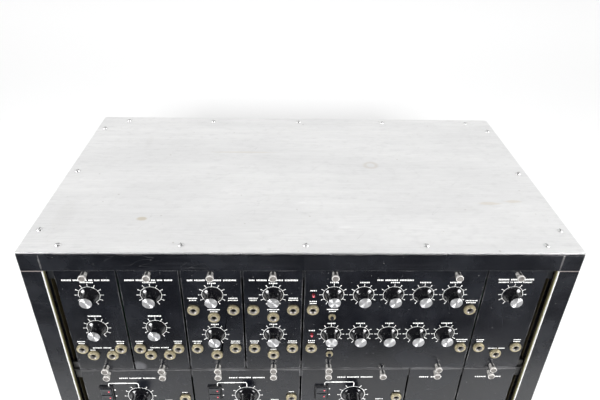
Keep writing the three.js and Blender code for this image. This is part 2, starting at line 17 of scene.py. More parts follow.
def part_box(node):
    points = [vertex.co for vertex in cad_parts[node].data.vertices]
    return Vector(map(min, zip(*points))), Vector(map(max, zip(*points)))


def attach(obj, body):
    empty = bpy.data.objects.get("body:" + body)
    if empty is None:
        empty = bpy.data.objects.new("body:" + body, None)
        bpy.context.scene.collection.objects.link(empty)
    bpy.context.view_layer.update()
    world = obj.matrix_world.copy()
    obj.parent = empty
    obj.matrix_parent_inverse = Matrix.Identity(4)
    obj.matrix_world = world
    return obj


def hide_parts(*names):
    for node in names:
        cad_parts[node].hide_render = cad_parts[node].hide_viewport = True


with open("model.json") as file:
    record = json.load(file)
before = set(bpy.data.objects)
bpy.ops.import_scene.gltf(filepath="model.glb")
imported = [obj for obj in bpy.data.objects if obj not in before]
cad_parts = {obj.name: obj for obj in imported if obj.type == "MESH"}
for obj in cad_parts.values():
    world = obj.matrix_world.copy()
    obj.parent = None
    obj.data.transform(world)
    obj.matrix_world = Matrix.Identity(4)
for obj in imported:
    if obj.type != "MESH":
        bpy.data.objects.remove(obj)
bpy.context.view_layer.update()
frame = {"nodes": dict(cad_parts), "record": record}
scene = bpy.context.scene

# Camera, fitted to the photograph's straight edges: metres, degrees and millimetres of lens
CAMERA_PLACE = (-0.02191, -0.56178, 0.66093)
CAMERA_TURN = -2.201
CAMERA_DIP = 32.192
CAMERA_ROLL = 1.436
CAMERA_LENS = 33.014

camera_data = bpy.data.cameras.new("photo_camera")
camera_data.lens = CAMERA_LENS
camera_data.sensor_width = 36
camera = bpy.data.objects.new("photo_camera", camera_data)
camera.matrix_world = (
    Matrix.Translation(CAMERA_PLACE)
    @ Matrix.Rotation(math.radians(CAMERA_TURN), 4, "Z")
    @ Matrix.Rotation(math.radians(90 - CAMERA_DIP), 4, "X")
    @ Matrix.Rotation(math.radians(CAMERA_ROLL), 4, "Z")
)
scene.collection.objects.link(camera)
scene.camera = camera


# Places, in millimetres
MM = 1000  # millimetres in a metre


def low_of(name):
    """The least corner of a CAD piece's box."""
    return np.array(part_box(name)[0]) * MM


def high_of(name):
    """The greatest corner of a CAD piece's box."""
    return np.array(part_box(name)[1]) * MM


def middle_of(name):
    """The middle of a CAD piece's box: half the sum of its least and greatest corners."""
    return (low_of(name) + high_of(name)) / 2


NODES = sorted(frame["nodes"])
CASE_SIDE = max(high_of("right_side")[0], high_of("rear_panel")[0])
CASE_BACK = high_of("rear_panel")[1]
BAR_FACE = low_of("left_side")[1]
BAR_SIZE = 20
PANEL_RECESS = 6
PANEL_THICKNESS = 2
PANEL_GAP = 2  # between neighbouring panels
PANEL_FACE = BAR_FACE + PANEL_RECESS
PLATE_TOP = high_of("top_plate")[2]
FLOOR_PLATE_LOW = 8  # underside of the base plate, on its four foot bosses
UNIT = high_of("filter_a_panel")[0] - low_of("filter_a_panel")[0] + PANEL_GAP
MODULES = [name.removesuffix("_panel") for name in NODES if name.endswith("_panel") and name != "rear_panel"]
PANELS = {module: (low_of(module + "_panel"), high_of(module + "_panel")) for module in MODULES}
KNOBS = [name for name in NODES if name.endswith("_knob") or "_knob_" in name]
TUNING_KNOBS = [name for name in KNOBS if "tuning" in name]
SMALL_KNOBS = [name for name in KNOBS if "tuning" not in name]
BUTTONS = [name for name in NODES if "_button_" in name]
KEYS = [name for name in NODES if "_key_" in name]
SOCKETS = [
    (np.array(opening["box_m"][0]) + np.array(opening["box_m"][1])) * (MM / 2)
    for opening in frame["record"]["physics"]["openings"]
    if "socket" in opening["name"]
]


def on_face(place):
    """A place moved along Y onto the plane of the panels' faces."""
    return np.array([place[0], PANEL_FACE, place[2]])


def panel_head(module):
    """The middle of a panel's upper edge, on its face."""
    low, high = PANELS[module]
    return np.array([(low[0] + high[0]) / 2, PANEL_FACE, high[2]])


# Shapes
FACINGS = {
    "front": np.eye(3),
    "top": np.array([[1, 0, 0], [0, 0, 1], [0, -1, 0]]),
    "bottom": np.array([[1, 0, 0], [0, 0, -1], [0, 1, 0]]),
    "back": np.diag([-1, -1, 1]),
    "left": np.array([[0, 1, 0], [-1, 0, 0], [0, 0, 1]]),
    "right": np.array([[0, -1, 0], [1, 0, 0], [0, 0, 1]]),
}


def gathered(shapes):
    """Several shapes as one: points in a row, and each shape's face numbers moved along."""
    counts = np.cumsum([0] + [len(points) for points, _, _ in shapes])
    return (
        np.concatenate([points for points, _, _ in shapes]),
        np.concatenate([faces + first for (_, faces, _), first in zip(shapes, counts)]),
        np.concatenate([reach for _, _, reach in shapes]),
    )


def repeated(shape, places):
    """One shape copied to each of the places by adding the place to its points."""
    points, faces, reach = shape
    places = np.asarray(places, float).reshape(-1, 3)
    copies = np.arange(len(places))[:, None, None]
    return (
        (points[None] + places[:, None]).reshape(-1, 3),
        (faces[None] + copies * len(points)).reshape(-1, 4),
        np.tile(reach, len(places)),
    )


def turned(profile, sides, facing="front", hollow=False, flutes=(0, 0.0)):
    """A profile of (radius, depth) turned about an axis through the origin.

    The point at angle a is (r cos a, depth, r sin a), from the front's middle out and back.
    A row with no radius is one closing point. A hollow profile joins its last row to its
    first. Flutes are (count, depth): a row whose third value is 1 has its radius times
    1 - depth (1 - cos(count a)) / 2.
    """
    rows = np.array([tuple(row) + (0,) * (3 - len(row)) for row in profile], float)
    radius, depth, fluted = rows.T
    angle = np.arange(sides) * 2 * np.pi / sides
    bite = 1 - flutes[1] * (1 - np.cos(flutes[0] * angle)) / 2
    spread = radius[:, None] * np.where(fluted[:, None] > 0, bite, 1)
    grid = np.stack(
        [spread * np.cos(angle), np.broadcast_to(depth[:, None], spread.shape), spread * np.sin(angle)],
        axis=-1,
    )
    kept = (radius[:, None] > 0) | (np.arange(sides) == 0)
    number = np.cumsum(kept.ravel()).reshape(kept.shape) - 1
    number = np.where(radius[:, None] > 0, number, number[:, :1])
    near, far = (number, np.roll(number, -1, 0)) if hollow else (number[:-1], number[1:])
    faces = np.stack([near, far, np.roll(far, -1, 1), np.roll(near, -1, 1)], axis=-1).reshape(-1, 4)
    highlight_and_glow_tip = faces[:, 0] == faces[:, 3]
    end = faces[:, 1] == faces[:, 2]
    faces[end, 2] = faces[end, 3]
    faces[highlight_and_glow_tip, 3] = faces[highlight_and_glow_tip, 2]
    faces = faces[~(highlight_and_glow_tip & end)]
    points = grid[kept] @ FACINGS[facing].T
    reach = np.broadcast_to(radius[:, None], kept.shape)[kept]
    return points, faces, reach


def slabs(middles, sizes, turns=0.0):
    """Boxes about their middles, each turned in the panel's plane by its own angle.

    A corner is the middle plus the turned half size with its signs.
    """
    middles = np.asarray(middles, float).reshape(-1, 3)
    sizes = np.broadcast_to(np.asarray(sizes, float), middles.shape)
    turns = np.broadcast_to(np.asarray(turns, float), len(middles))
    signs = np.array([(x, y, z) for x in (-1, 1) for y in (-1, 1) for z in (-1, 1)]) / 2
    local = signs[None] * sizes[:, None]
    c, s = np.cos(turns)[:, None], np.sin(turns)[:, None]
    x = local[..., 0] * c + local[..., 2] * s
    z = local[..., 2] * c - local[..., 0] * s
    points = np.stack([x, local[..., 1], z], -1) + middles[:, None]
    sides = np.array([(0, 1, 3, 2), (4, 6, 7, 5), (0, 4, 5, 1), (2, 3, 7, 6), (0, 2, 6, 4), (1, 5, 7, 3)])
    faces = (sides[None] + np.arange(len(middles))[:, None, None] * 8).reshape(-1, 4)
    return points.reshape(-1, 3), faces, np.zeros(points.size // 3)


def swept(rings):
    """A closed skin over rings of points (rings, points in a ring, 3), capped at both ends.

    Ring points run anticlockwise seen from the first ring's outer side, and each cap is a fan
    of triangles about the ring's mean point.
    """
    rings = np.asarray(rings, float)
    count, around = rings.shape[:2]
    number = np.arange(count * around).reshape(count, around)
    near, far = number[:-1], number[1:]
    skin = np.stack([near, far, np.roll(far, -1, 1), np.roll(near, -1, 1)], -1).reshape(-1, 4)
    ends = np.stack([rings[0].mean(0), rings[-1].mean(0)])
    first, last = number.size, number.size + 1
    a, b = number[0], np.roll(number[0], -1)
    c, d = number[-1], np.roll(number[-1], -1)
    front = np.stack([np.full(around, first), a, b, b], -1)
    back = np.stack([np.full(around, last), d, c, c], -1)
    points = np.concatenate([rings.reshape(-1, 3), ends])
    return points, np.concatenate([skin, front, back]), np.zeros(len(points))


def rounded_ring(width, height, radius, steps=4):
    """Points of a rectangle with round corners, anticlockwise from its right side, in (x, z).

    A point is its corner's centre plus radius (cos a, sin a), a quarter turn a corner.
    """
    corner = np.linspace(0, np.pi / 2, steps + 1)
    inner = np.array([(width, height), (-width, height), (-width, -height), (width, -height)]) / 2
    inner = inner - radius * np.sign(inner)
    angles = corner[None] + np.arange(4)[:, None] * np.pi / 2
    ring = inner[:, None] + radius * np.stack([np.cos(angles), np.sin(angles)], -1)
    return ring.reshape(-1, 2)


def arc_strip(radius, width, start, end, front, back, steps):
    """A flat strip along an arc about the origin, from start to end degrees off the top.

    Its four corner lines are at the radius less and plus half the width, on both faces.
    """
    angle = np.radians(np.linspace(start, end, steps + 1))
    out = np.stack([np.sin(angle), np.zeros_like(angle), np.cos(angle)], -1)
    y = np.array([0, 1, 0])
    inner, outer = out * (radius - width / 2), out * (radius + width / 2)
    rings = np.stack([outer + y * front, outer + y * back, inner + y * back, inner + y * front], 1)
    return swept(rings)


# Pieces
def piece(name, shape, finish, body="cabinet", sharp=35, stands_for=()):
    """Puts a shape into a mesh in metres, with its reach as an attribute, on its body."""
    points, faces, reach = shape
    three = faces[:, 2] == faces[:, 3]
    corners = np.concatenate([faces[~three].ravel(), faces[three][:, :3].ravel()])
    sizes = np.concatenate([np.full(np.sum(~three), 4), np.full(np.sum(three), 3)])
    mesh = bpy.data.meshes.new(name)
    mesh.vertices.add(len(points))
    mesh.vertices.foreach_set("co", (points / MM).astype(np.float32).ravel())
    mesh.loops.add(len(corners))
    mesh.loops.foreach_set("vertex_index", corners.astype(np.int32))
    mesh.polygons.add(len(sizes))
    mesh.polygons.foreach_set("loop_start", (np.cumsum(sizes) - sizes).astype(np.int32))
    mesh.update(calc_edges=True)
    mesh.validate()
    mesh.set_sharp_from_angle(angle=math.radians(sharp))
    layer = mesh.attributes.new("reach", "FLOAT", "POINT")
    layer.data.foreach_set("value", reach.astype(np.float32))
    mesh.materials.append(finish)
    made = bpy.data.objects.new(name, mesh)
    scene.collection.objects.link(made)
    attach(made, body)
    if stands_for:
        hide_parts(*stands_for)
    return made


# Shader tools
MIX_SHARE, MIX_FIRST, MIX_SECOND = 0, 6, 7  # a Mix node's inputs where it mixes colours


def metres(place):
    """Millimetres as metres, in plain numbers."""
    return tuple(float(value) / MM for value in place)


def grey(level):
    """A colour with the same red, green and blue."""
    return (level, level, level)


def feed(tree, socket, value):
    """Gives a socket its value, or joins another socket to it."""
    if isinstance(value, bpy.types.NodeSocket):
        tree.links.new(value, socket)
    else:
        socket.default_value = value


def add(tree, kind, inputs=None, **settings):
    """One shader node with its settings, and its inputs as values or as other sockets."""
    made = tree.nodes.new("ShaderNode" + kind)
    for key, value in settings.items():
        setattr(made, key, value)
    for key, value in (inputs or {}).items():
        feed(tree, made.inputs[key], value)
    return made


def sums(tree, operation, *values, clamp=False):
    """The result of one operation on plain values."""
    return add(tree, "Math", dict(enumerate(values)), operation=operation, use_clamp=clamp).outputs[0]


def plus(tree, first, second):
    """The sum of two values."""
    return sums(tree, "ADD", first, second)


def minus(tree, first, second):
    """The first value less the second."""
    return sums(tree, "SUBTRACT", first, second)


def times(tree, first, second):
    """The product of two values."""
    return sums(tree, "MULTIPLY", first, second)


def greater(tree, first, second):
    """The greater of two values, or of two masks."""
    return sums(tree, "MAXIMUM", first, second)


def below(tree, value, limit):
    """A mask: 1 where a value is under its limit, and 0 elsewhere."""
    return sums(tree, "LESS_THAN", value, limit)


def vectors(tree, operation, *values):
    """The result of one operation on vectors."""
    return add(tree, "VectorMath", dict(enumerate(values)), operation=operation).outputs[0]


def ramp(tree, value, low, high, to_low=0.0, to_high=1.0):
    """A smooth step of a value between two limits."""
    numbers = {"Value": value, "From Min": low, "From Max": high, "To Min": to_low, "To Max": to_high}
    return add(tree, "MapRange", numbers, interpolation_type="SMOOTHSTEP").outputs[0]


def blend(tree, share, first, second):
    """A colour between two colours, by a share."""
    made = add(tree, "Mix", {MIX_SHARE: share}, data_type="RGBA")
    for key, colour in ((MIX_FIRST, first), (MIX_SECOND, second)):
        linked = isinstance(colour, bpy.types.NodeSocket)
        feed(tree, made.inputs[key], colour if linked else (*colour, 1.0))
    return made.outputs[2]


def mottled(tree, value, first, second, low=0.3, high=0.7):
    """The first colour where a value is low, the second where it is high, and between them."""
    return blend(tree, ramp(tree, value, low, high), first, second)


def layered(tree, colour, *layers):
    """A colour under layers of (mask, share, tone), with the last one on top."""
    for mask, share, tone in layers:
        colour = blend(tree, times(tree, mask, share), colour, tone)
    return colour


def split(tree, vector):
    """A vector's x, y and z."""
    return add(tree, "SeparateXYZ", {0: vector}).outputs


def here(tree):
    """The shaded point's place, in metres."""
    return add(tree, "TexCoord").outputs["Object"]


def noise_at(tree, place, scale, detail, **more):
    """Noise about 0.5 at a place."""
    return add(tree, "TexNoise", {"Vector": place, "Scale": scale, "Detail": detail, **more}).outputs[0]


def edge_distances(tree, place, low, high):
    """A place's distance from the nearer of a box's two faces, along each axis."""
    to_low = vectors(tree, "ABSOLUTE", vectors(tree, "SUBTRACT", place, low))
    to_high = vectors(tree, "ABSOLUTE", vectors(tree, "SUBTRACT", place, high))
    return split(tree, vectors(tree, "MINIMUM", to_low, to_high))


def oval_distance(tree, place, middle, reach):
    """A place's distance from a middle, with each axis measured in the oval's reach along it."""
    away = vectors(tree, "DIVIDE", vectors(tree, "SUBTRACT", place, middle), reach)
    return add(tree, "VectorMath", {0: away}, operation="LENGTH").outputs["Value"]


def effect(name, inputs, outputs):
    """An empty node group with named inputs and outputs, and its two end nodes."""
    tree = bpy.data.node_groups.new(name, "ShaderNodeTree")
    for label, kind, value in inputs:
        socket = tree.interface.new_socket(label, in_out="INPUT", socket_type="NodeSocket" + kind)
        socket.default_value = value
    for label, kind in outputs:
        tree.interface.new_socket(label, in_out="OUTPUT", socket_type="NodeSocket" + kind)
    start = tree.nodes.new("NodeGroupInput")
    end = tree.nodes.new("NodeGroupOutput")
    return tree, start.outputs, end.inputs


def edge_wear():
    """Wear is 1 where a point is near two of the box's faces at once, broken up by noise."""
    tree, given, out = effect(
        "edge_wear",
        [
            ("Low", "Vector", (0, 0, 0)), ("High", "Vector", (1, 1, 1)),
            ("Width", "Float", 0.001), ("Patches", "Float", 60.0),
        ],
        [("Wear", "Float")],
    )
    place = here(tree)
    x, y, z = edge_distances(tree, place, given["Low"], given["High"])
    nearer = sums(tree, "MINIMUM", x, y)
    farther = greater(tree, x, y)
    second = greater(tree, nearer, sums(tree, "MINIMUM", farther, z))
    noise = noise_at(tree, place, given["Patches"], 5.0, Roughness=0.65)
    width = times(tree, given["Width"], ramp(tree, noise, 0.35, 0.75, 0.05, 1.6))
    share = sums(tree, "DIVIDE", second, width)
    tree.links.new(ramp(tree, share, 0.5, 1.0, 1.0, 0.0), out["Wear"])
    return tree


def grain():
    """Even noise drawn out along the axes by Stretch, as a value about 0.5."""
    tree, given, out = effect(
        "grain",
        [("Stretch", "Vector", (1, 1, 1)), ("Scale", "Float", 400.0), ("Detail", "Float", 3.0)],
        [("Value", "Float")],
    )
    place = vectors(tree, "MULTIPLY", here(tree), given["Stretch"])
    tree.links.new(noise_at(tree, place, given["Scale"], given["Detail"]), out["Value"])
    return tree


def dust():
    """Small round specks where a cell's middle is near, kept in some of the cells only."""
    tree, given, out = effect(
        "dust",
        [("Scale", "Float", 300.0), ("Size", "Float", 0.12), ("Share", "Float", 0.2)],
        [("Specks", "Float")],
    )
    cells = add(tree, "TexVoronoi", {"Vector": here(tree), "Scale": given["Scale"], "Randomness": 1.0})
    chance = split(tree, cells.outputs["Color"])[0]
    size = times(tree, given["Size"], split(tree, cells.outputs["Color"])[1])
    near = below(tree, cells.outputs["Distance"], size)
    chosen = below(tree, chance, given["Share"])
    tree.links.new(times(tree, near, chosen), out["Specks"])
    return tree


def scratches():
    """Thin lines where a drawn-out noise crosses its middle value, fading in and out."""
    tree, given, out = effect(
        "scratches",
        [
            ("Stretch", "Vector", (1, 1, 1)), ("Turn", "Vector", (0, 0, 0)),
            ("Scale", "Float", 20.0), ("Line", "Float", 0.004), ("Share", "Float", 0.4),
        ],
        [("Lines", "Float")],
    )
    turn = {"Vector": here(tree), "Rotation": given["Turn"]}
    place = add(tree, "VectorRotate", turn, rotation_type="EULER_XYZ").outputs[0]
    noise = noise_at(tree, vectors(tree, "MULTIPLY", place, given["Stretch"]), given["Scale"], 1.0)
    off = sums(tree, "ABSOLUTE", minus(tree, noise, 0.5))
    line = sums(tree, "SUBTRACT", 1.0, sums(tree, "DIVIDE", off, given["Line"]), clamp=True)
    cover = noise_at(tree, place, 28.0, 2.0)
    limit = minus(tree, 1.0, given["Share"])
    kept = ramp(tree, cover, times(tree, limit, 0.85), limit)
    tree.links.new(times(tree, line, kept), out["Lines"])
    return tree


def smear():
    """A soft oval mark: 1 at Place, 0 beyond Reach on any axis, its rim pushed about by noise."""
    tree, given, out = effect(
        "smear",
        [("Place", "Vector", (0, 0, 0)), ("Reach", "Vector", (1, 1, 1)), ("Ragged", "Float", 0.5)],
        [("Mark", "Float")],
    )
    far = oval_distance(tree, here(tree), given["Place"], given["Reach"])
    noise = noise_at(tree, here(tree), 70.0, 4.0)
    rim = plus(tree, far, times(tree, minus(tree, noise, 0.5), given["Ragged"]))
    tree.links.new(ramp(tree, rim, 0.45, 1.0, 1.0, 0.0), out["Mark"])
    return tree


EDGE_WEAR, GRAIN, DUST, SCRATCHES, SMEAR = edge_wear(), grain(), dust(), scratches(), smear()


def use(tree, group, **inputs):
    """A node group placed in a material, with its inputs' values; gives its first output."""
    made = tree.nodes.new("ShaderNodeGroup")
    made.node_tree = group
    for key, value in inputs.items():
        feed(tree, made.inputs[key], value)
    return made.outputs[0]


def finish_of(name, **sockets):
    """A new material; uniform values are set on the Principled shader's own sockets."""
    material = bpy.data.materials.new(name)
    material.use_nodes = True
    tree = material.node_tree
    shader = tree.nodes["Principled BSDF"]
    for key, value in sockets.items():
        shader.inputs[key.replace("_", " ")].default_value = value
    return material, tree, shader


def link(tree, shader, colour, roughness=None, metallic=None, height=None, depth=0.03, glow=None):
    """Joins the worked-out colour, roughness, metallic and glow, and a bump of a depth in millimetres."""
    ends = {"Base Color": colour, "Roughness": roughness, "Metallic": metallic, "Emission Color": glow}
    for socket, value in ends.items():
        if value is not None:
            tree.links.new(value, shader.inputs[socket])
    if height is not None:
        bump = add(tree, "Bump", {"Height": height, "Distance": depth / MM, "Strength": 1.0})
        tree.links.new(bump.outputs[0], shader.inputs["Normal"])


def repaint(material, mask, colour, metallic=0.0, roughness=None):
    """Puts another colour over a finish where the mask is 1, and another metallic and roughness if given."""
    tree = material.node_tree
    shader = tree.nodes["Principled BSDF"]
    keep = minus(tree, 1.0, mask)
    for socket, value in (("Metallic", metallic), ("Roughness", roughness)):
        if value is not None:
            old = times(tree, shader.inputs[socket].links[0].from_socket, keep)
            tree.links.new(plus(tree, old, times(tree, mask, value)), shader.inputs[socket])
    old = shader.inputs["Base Color"].links[0].from_socket
    tree.links.new(blend(tree, mask, old, colour), shader.inputs["Base Color"])


# Finishes, with places and depths in millimetres
# Marks on the top plate: x, distance behind the bars' faces, reach along X and along Y
# painted shadows: soft darker patches laid over the plate's colour
PAINTED_SHADOW_PATCHES = ((-193, 232, 6, 30), (170, 75, 20, 8), (-244, 60, 12, 50))
SCUFFS = ((42, 42, 10, 2.5), (0, 88, 7, 3))
RING_STAIN = (85, 173)
# the same, and how strong each stain is
STAINS = (
    (-165, 56, 6.5, 4.2, 0.55), (203, 88, 16, 4, 0.30), (232, 92, 12, 4, 0.28), (-70, 205, 50, 3, 0.2),
)


def top_plate_finish():
    """Bare aluminium sheet: fine grain along X, faintly mottled, with specks, scuffs, stains and painted
    shadow patches.
    """
    material, tree, shader = finish_of("bare_top_plate", Metallic=1.0)
    fine = use(tree, GRAIN, Stretch=(0.06, 1.0, 1.0), Scale=520.0)
    bands = use(tree, GRAIN, Stretch=(0.05, 1.0, 1.0), Scale=90.0, Detail=4.0)
    cloud = use(tree, GRAIN, Stretch=(0.6, 1, 1), Scale=14.0, Detail=5.0)
    blotch = use(tree, GRAIN, Stretch=(0.7, 1, 1), Scale=150.0, Detail=5.0)
    pits = use(tree, DUST, Scale=150.0, Size=0.20, Share=0.07)
    small_pits = use(tree, DUST, Scale=520.0, Size=0.3, Share=0.10)

    def lines(stretch, turn, scale, width, share):
        """Scratches turned by an angle within the plate."""
        return use(tree, SCRATCHES, Stretch=stretch, Turn=(0, 0, turn), Scale=scale, Line=width, Share=share)

    def mark(x, y, wide, deep, ragged=1.0):
        """One oval mark on the plate."""
        place = metres((x, BAR_FACE + y, PLATE_TOP))
        return use(tree, SMEAR, Place=place, Reach=metres((wide, deep, 20)), Ragged=ragged)

    dull = lines((1.0, 14.0, 1.0), 0.05, 7.0, 0.005, 0.40)
    cross = lines((7.0, 1.0, 1.0), 0.7, 11.0, 0.004, 0.40)
    bright = lines((1.0, 8.0, 1.0), -0.45, 13.0, 0.006, 0.36)
    colour = mottled(tree, cloud, grey(0.80), (0.86, 0.86, 0.857))
    for grain_value, low, high, share, level in (
        (bands, 0.3, 0.72, 0.20, 0.66), (blotch, 0.50, 0.75, 0.24, 0.64), (fine, 0.3, 0.7, 0.16, 0.55),
    ):
        colour = blend(tree, ramp(tree, grain_value, low, high, 0.0, share), colour, grey(level))
    colour = layered(
        tree, colour, (small_pits, 0.22, (0.42, 0.41, 0.39)), (pits, 0.42, (0.45, 0.43, 0.40)),
    )
    for *place, share in STAINS:
        colour = layered(tree, colour, (mark(*place), share, (0.55, 0.47, 0.33)))
    disc, hole = mark(*RING_STAIN, 11, 11, 0.5), mark(*RING_STAIN, 7.5, 7.5, 0.4)
    ring = sums(tree, "SUBTRACT", disc, hole, clamp=True)
    colour = layered(tree, colour, (ring, 0.42, (0.50, 0.44, 0.36)))
    # painted shadows
    for place in PAINTED_SHADOW_PATCHES:
        colour = layered(tree, colour, (mark(*place), 0.12, (0.60, 0.59, 0.57)))
    marks = greater(tree, dull, cross)
    colour = layered(tree, colour, (marks, 0.30, grey(0.45)))
    scuffs = greater(tree, mark(*SCUFFS[0]), mark(*SCUFFS[1]))
    scuffs = greater(tree, scuffs, times(tree, bright, 0.8))
    colour = layered(tree, colour, (scuffs, 0.4, grey(0.95)))
    rough = ramp(tree, blotch, 0.3, 0.7, 0.46, 0.56)
    height = minus(tree, fine, plus(tree, marks, pits))
    link(tree, shader, colour, rough, height=height)
    return material


def rear_panel_finish():
    """Plain bare aluminium sheet, brushed along X."""
    material, tree, shader = finish_of("bare_rear_panel", Metallic=1.0)
    fine = use(tree, GRAIN, Stretch=(0.12, 1, 1), Scale=900.0, Detail=2.0)
    cloud = use(tree, GRAIN, Scale=22.0, Detail=6.0)
    pits = use(tree, DUST, Scale=260.0, Size=0.25, Share=0.15)
    colour = mottled(tree, cloud, grey(0.66), (0.76, 0.76, 0.755), 0.35, 0.65)
    colour = blend(tree, ramp(tree, fine, 0.3, 0.7, 0.0, 0.3), colour, grey(0.5))
    colour = layered(tree, colour, (pits, 0.5, (0.3, 0.29, 0.28)))
    link(tree, shader, colour, ramp(tree, cloud, 0.3, 0.7, 0.38, 0.52), height=fine)
    return material


ROLLED_EDGE = 2.4  # radius of the bars' long edges
FOOT_GROOVE = 0.7  # radius of the line along a bar's foot, where the sheet or flange begins


def rolled_edge(tree, away, radius):
    """Height of a rounded edge: radius times the root of 1 - (1 - away / radius) squared.

    What is under the root is at least 0.02, and beyond the radius the height stays the same.
    """
    inside = sums(tree, "DIVIDE", minus(tree, radius, away), radius, clamp=True)
    square = minus(tree, 1.0, times(tree, inside, inside))
    return times(tree, sums(tree, "SQRT", greater(tree, square, 0.02)), radius)


def black_bar_finish(name, top=None, foot=None):
    """Black anodised bar: satin, with rolled long edges, worn corners, dust and faint scratches."""
    material, tree, shader = finish_of("black_" + name)
    low, high = metres(low_of(name)), metres(high_of(name))
    worn = use(tree, EDGE_WEAR, Low=low, High=high, Width=0.0007, Patches=55.0)
    cloud = use(tree, GRAIN, Scale=30.0, Detail=5.0)
    fine = use(tree, GRAIN, Stretch=(0.2, 1.0, 1.0), Scale=1400.0, Detail=2.0)
    streaks = use(tree, GRAIN, Stretch=(0.03, 1.0, 1.0), Scale=330.0)
    specks = use(tree, DUST, Scale=330.0, Size=0.18, Share=0.05)
    turn = (0.1, 0.2, 0.3)
    lines = use(tree, SCRATCHES, Stretch=(1.0, 6.0, 6.0), Turn=turn, Scale=16.0, Line=0.004, Share=0.35)
    colour = mottled(tree, cloud, (0.002, 0.0025, 0.004), (0.006, 0.007, 0.010), 0.35)
    colour = blend(tree, ramp(tree, streaks, 0.5, 0.75, 0.0, 0.3), colour, (0.016, 0.017, 0.020))
    colour = layered(
        tree, colour,
        (lines, 0.35, grey(0.10)), (specks, 0.7, (0.28, 0.27, 0.26)), (worn, 0.6, (0.42, 0.41, 0.41)),
    )
    metal = times(tree, worn, 0.8)
    rough = ramp(tree, cloud, 0.3, 0.7, 0.20, 0.32)
    height = times(tree, fine, 0.02 / MM)
    z = split(tree, here(tree))[2]
    if top is not None:
        height = plus(tree, height, rolled_edge(tree, minus(tree, top / MM, z), ROLLED_EDGE / MM))
    if foot is not None:
        near = sums(tree, "ABSOLUTE", minus(tree, z, foot / MM))
        height = plus(tree, height, rolled_edge(tree, near, FOOT_GROOVE / MM))
    # the height is in metres already, so the bump is a metre deep
    link(tree, shader, colour, rough, metal, height=height, depth=MM)
    return material


# A stile's inner side, with painted shade deeper in: where one tone gives way to the next, measured behind
# the bars' faces
PALE_TO_BROWN = (2.4, 3.4)
BROWN_TO_BLACK = (3.6, 5.6)
TONE_WANDER = 1.6
STILE_CHAMFER = 0.45  # bare metal at a stile's upper end


def stile_finish(name):
    """Black bar whose inner side is bare metal: pale at the front, then painted shade, brown and then black,
    farther into the gap.
    """
    material = black_bar_finish(name)
    tree = material.node_tree
    x, y, z = split(tree, here(tree))
    inner = (min(abs(low_of(name)[0]), abs(high_of(name)[0])) + 0.3) / MM
    bare = below(tree, sums(tree, "ABSOLUTE", x), inner)
    depth = minus(tree, y, BAR_FACE / MM)
    cloud = use(tree, GRAIN, Stretch=(1, 1, 0.3), Scale=90.0, Detail=5.0)
    ragged = plus(tree, depth, times(tree, cloud, TONE_WANDER / MM))
    # painted shade: brown, then black, farther into the gap between stile and panel
    shaded_brown_to_black = mottled(tree, ragged, (0.30, 0.29, 0.12), (0.05, 0.04, 0.02), *metres(BROWN_TO_BLACK))
    pale = mottled(tree, cloud, (0.90, 0.89, 0.87), (0.97, 0.96, 0.95))
    repaint(material, bare, mottled(tree, ragged, pale, shaded_brown_to_black, *metres(PALE_TO_BROWN)), 0.0, 0.45)
    end = sums(tree, "GREATER_THAN", z, (high_of(name)[2] - STILE_CHAMFER) / MM)
    repaint(material, end, (0.30, 0.26, 0.25), 0.5, 0.35)
    return material


def header_finish():
    """Black bar, with a darker flange behind the panels."""
    top = high_of("front_header")[2]
    material = black_bar_finish("front_header", top=top, foot=top - BAR_SIZE)
    tree = material.node_tree
    flange = below(tree, split(tree, here(tree))[2], (top - BAR_SIZE - 0.2) / MM)
    cloud = use(tree, GRAIN, Stretch=(0.3, 1, 1), Scale=90.0, Detail=4.0)
    dark = mottled(tree, cloud, (0.004, 0.005, 0.007), (0.009, 0.010, 0.012))
    repaint(material, flange, dark, 0.0, 0.3)
    return material


def base_finish():
    """Black base plate and sill, with dull rubber-dark foot bosses below."""
    material = black_bar_finish("base_tray")
    tree = material.node_tree
    boss = below(tree, split(tree, here(tree))[2], (FLOOR_PLATE_LOW - 0.1) / MM)
    repaint(material, boss, grey(0.012), 0.0, 0.8)
    return material


CUT_SIDE, CUT_END = 0.22, 0.25  # bare metal along a panel's sides, and along its ends
PALE_SMEAR_INSET, PALE_SMEAR_REACH = 3, (11, 20, 12)  # a paler smear on one panel: inset from its lower left corner, and reach
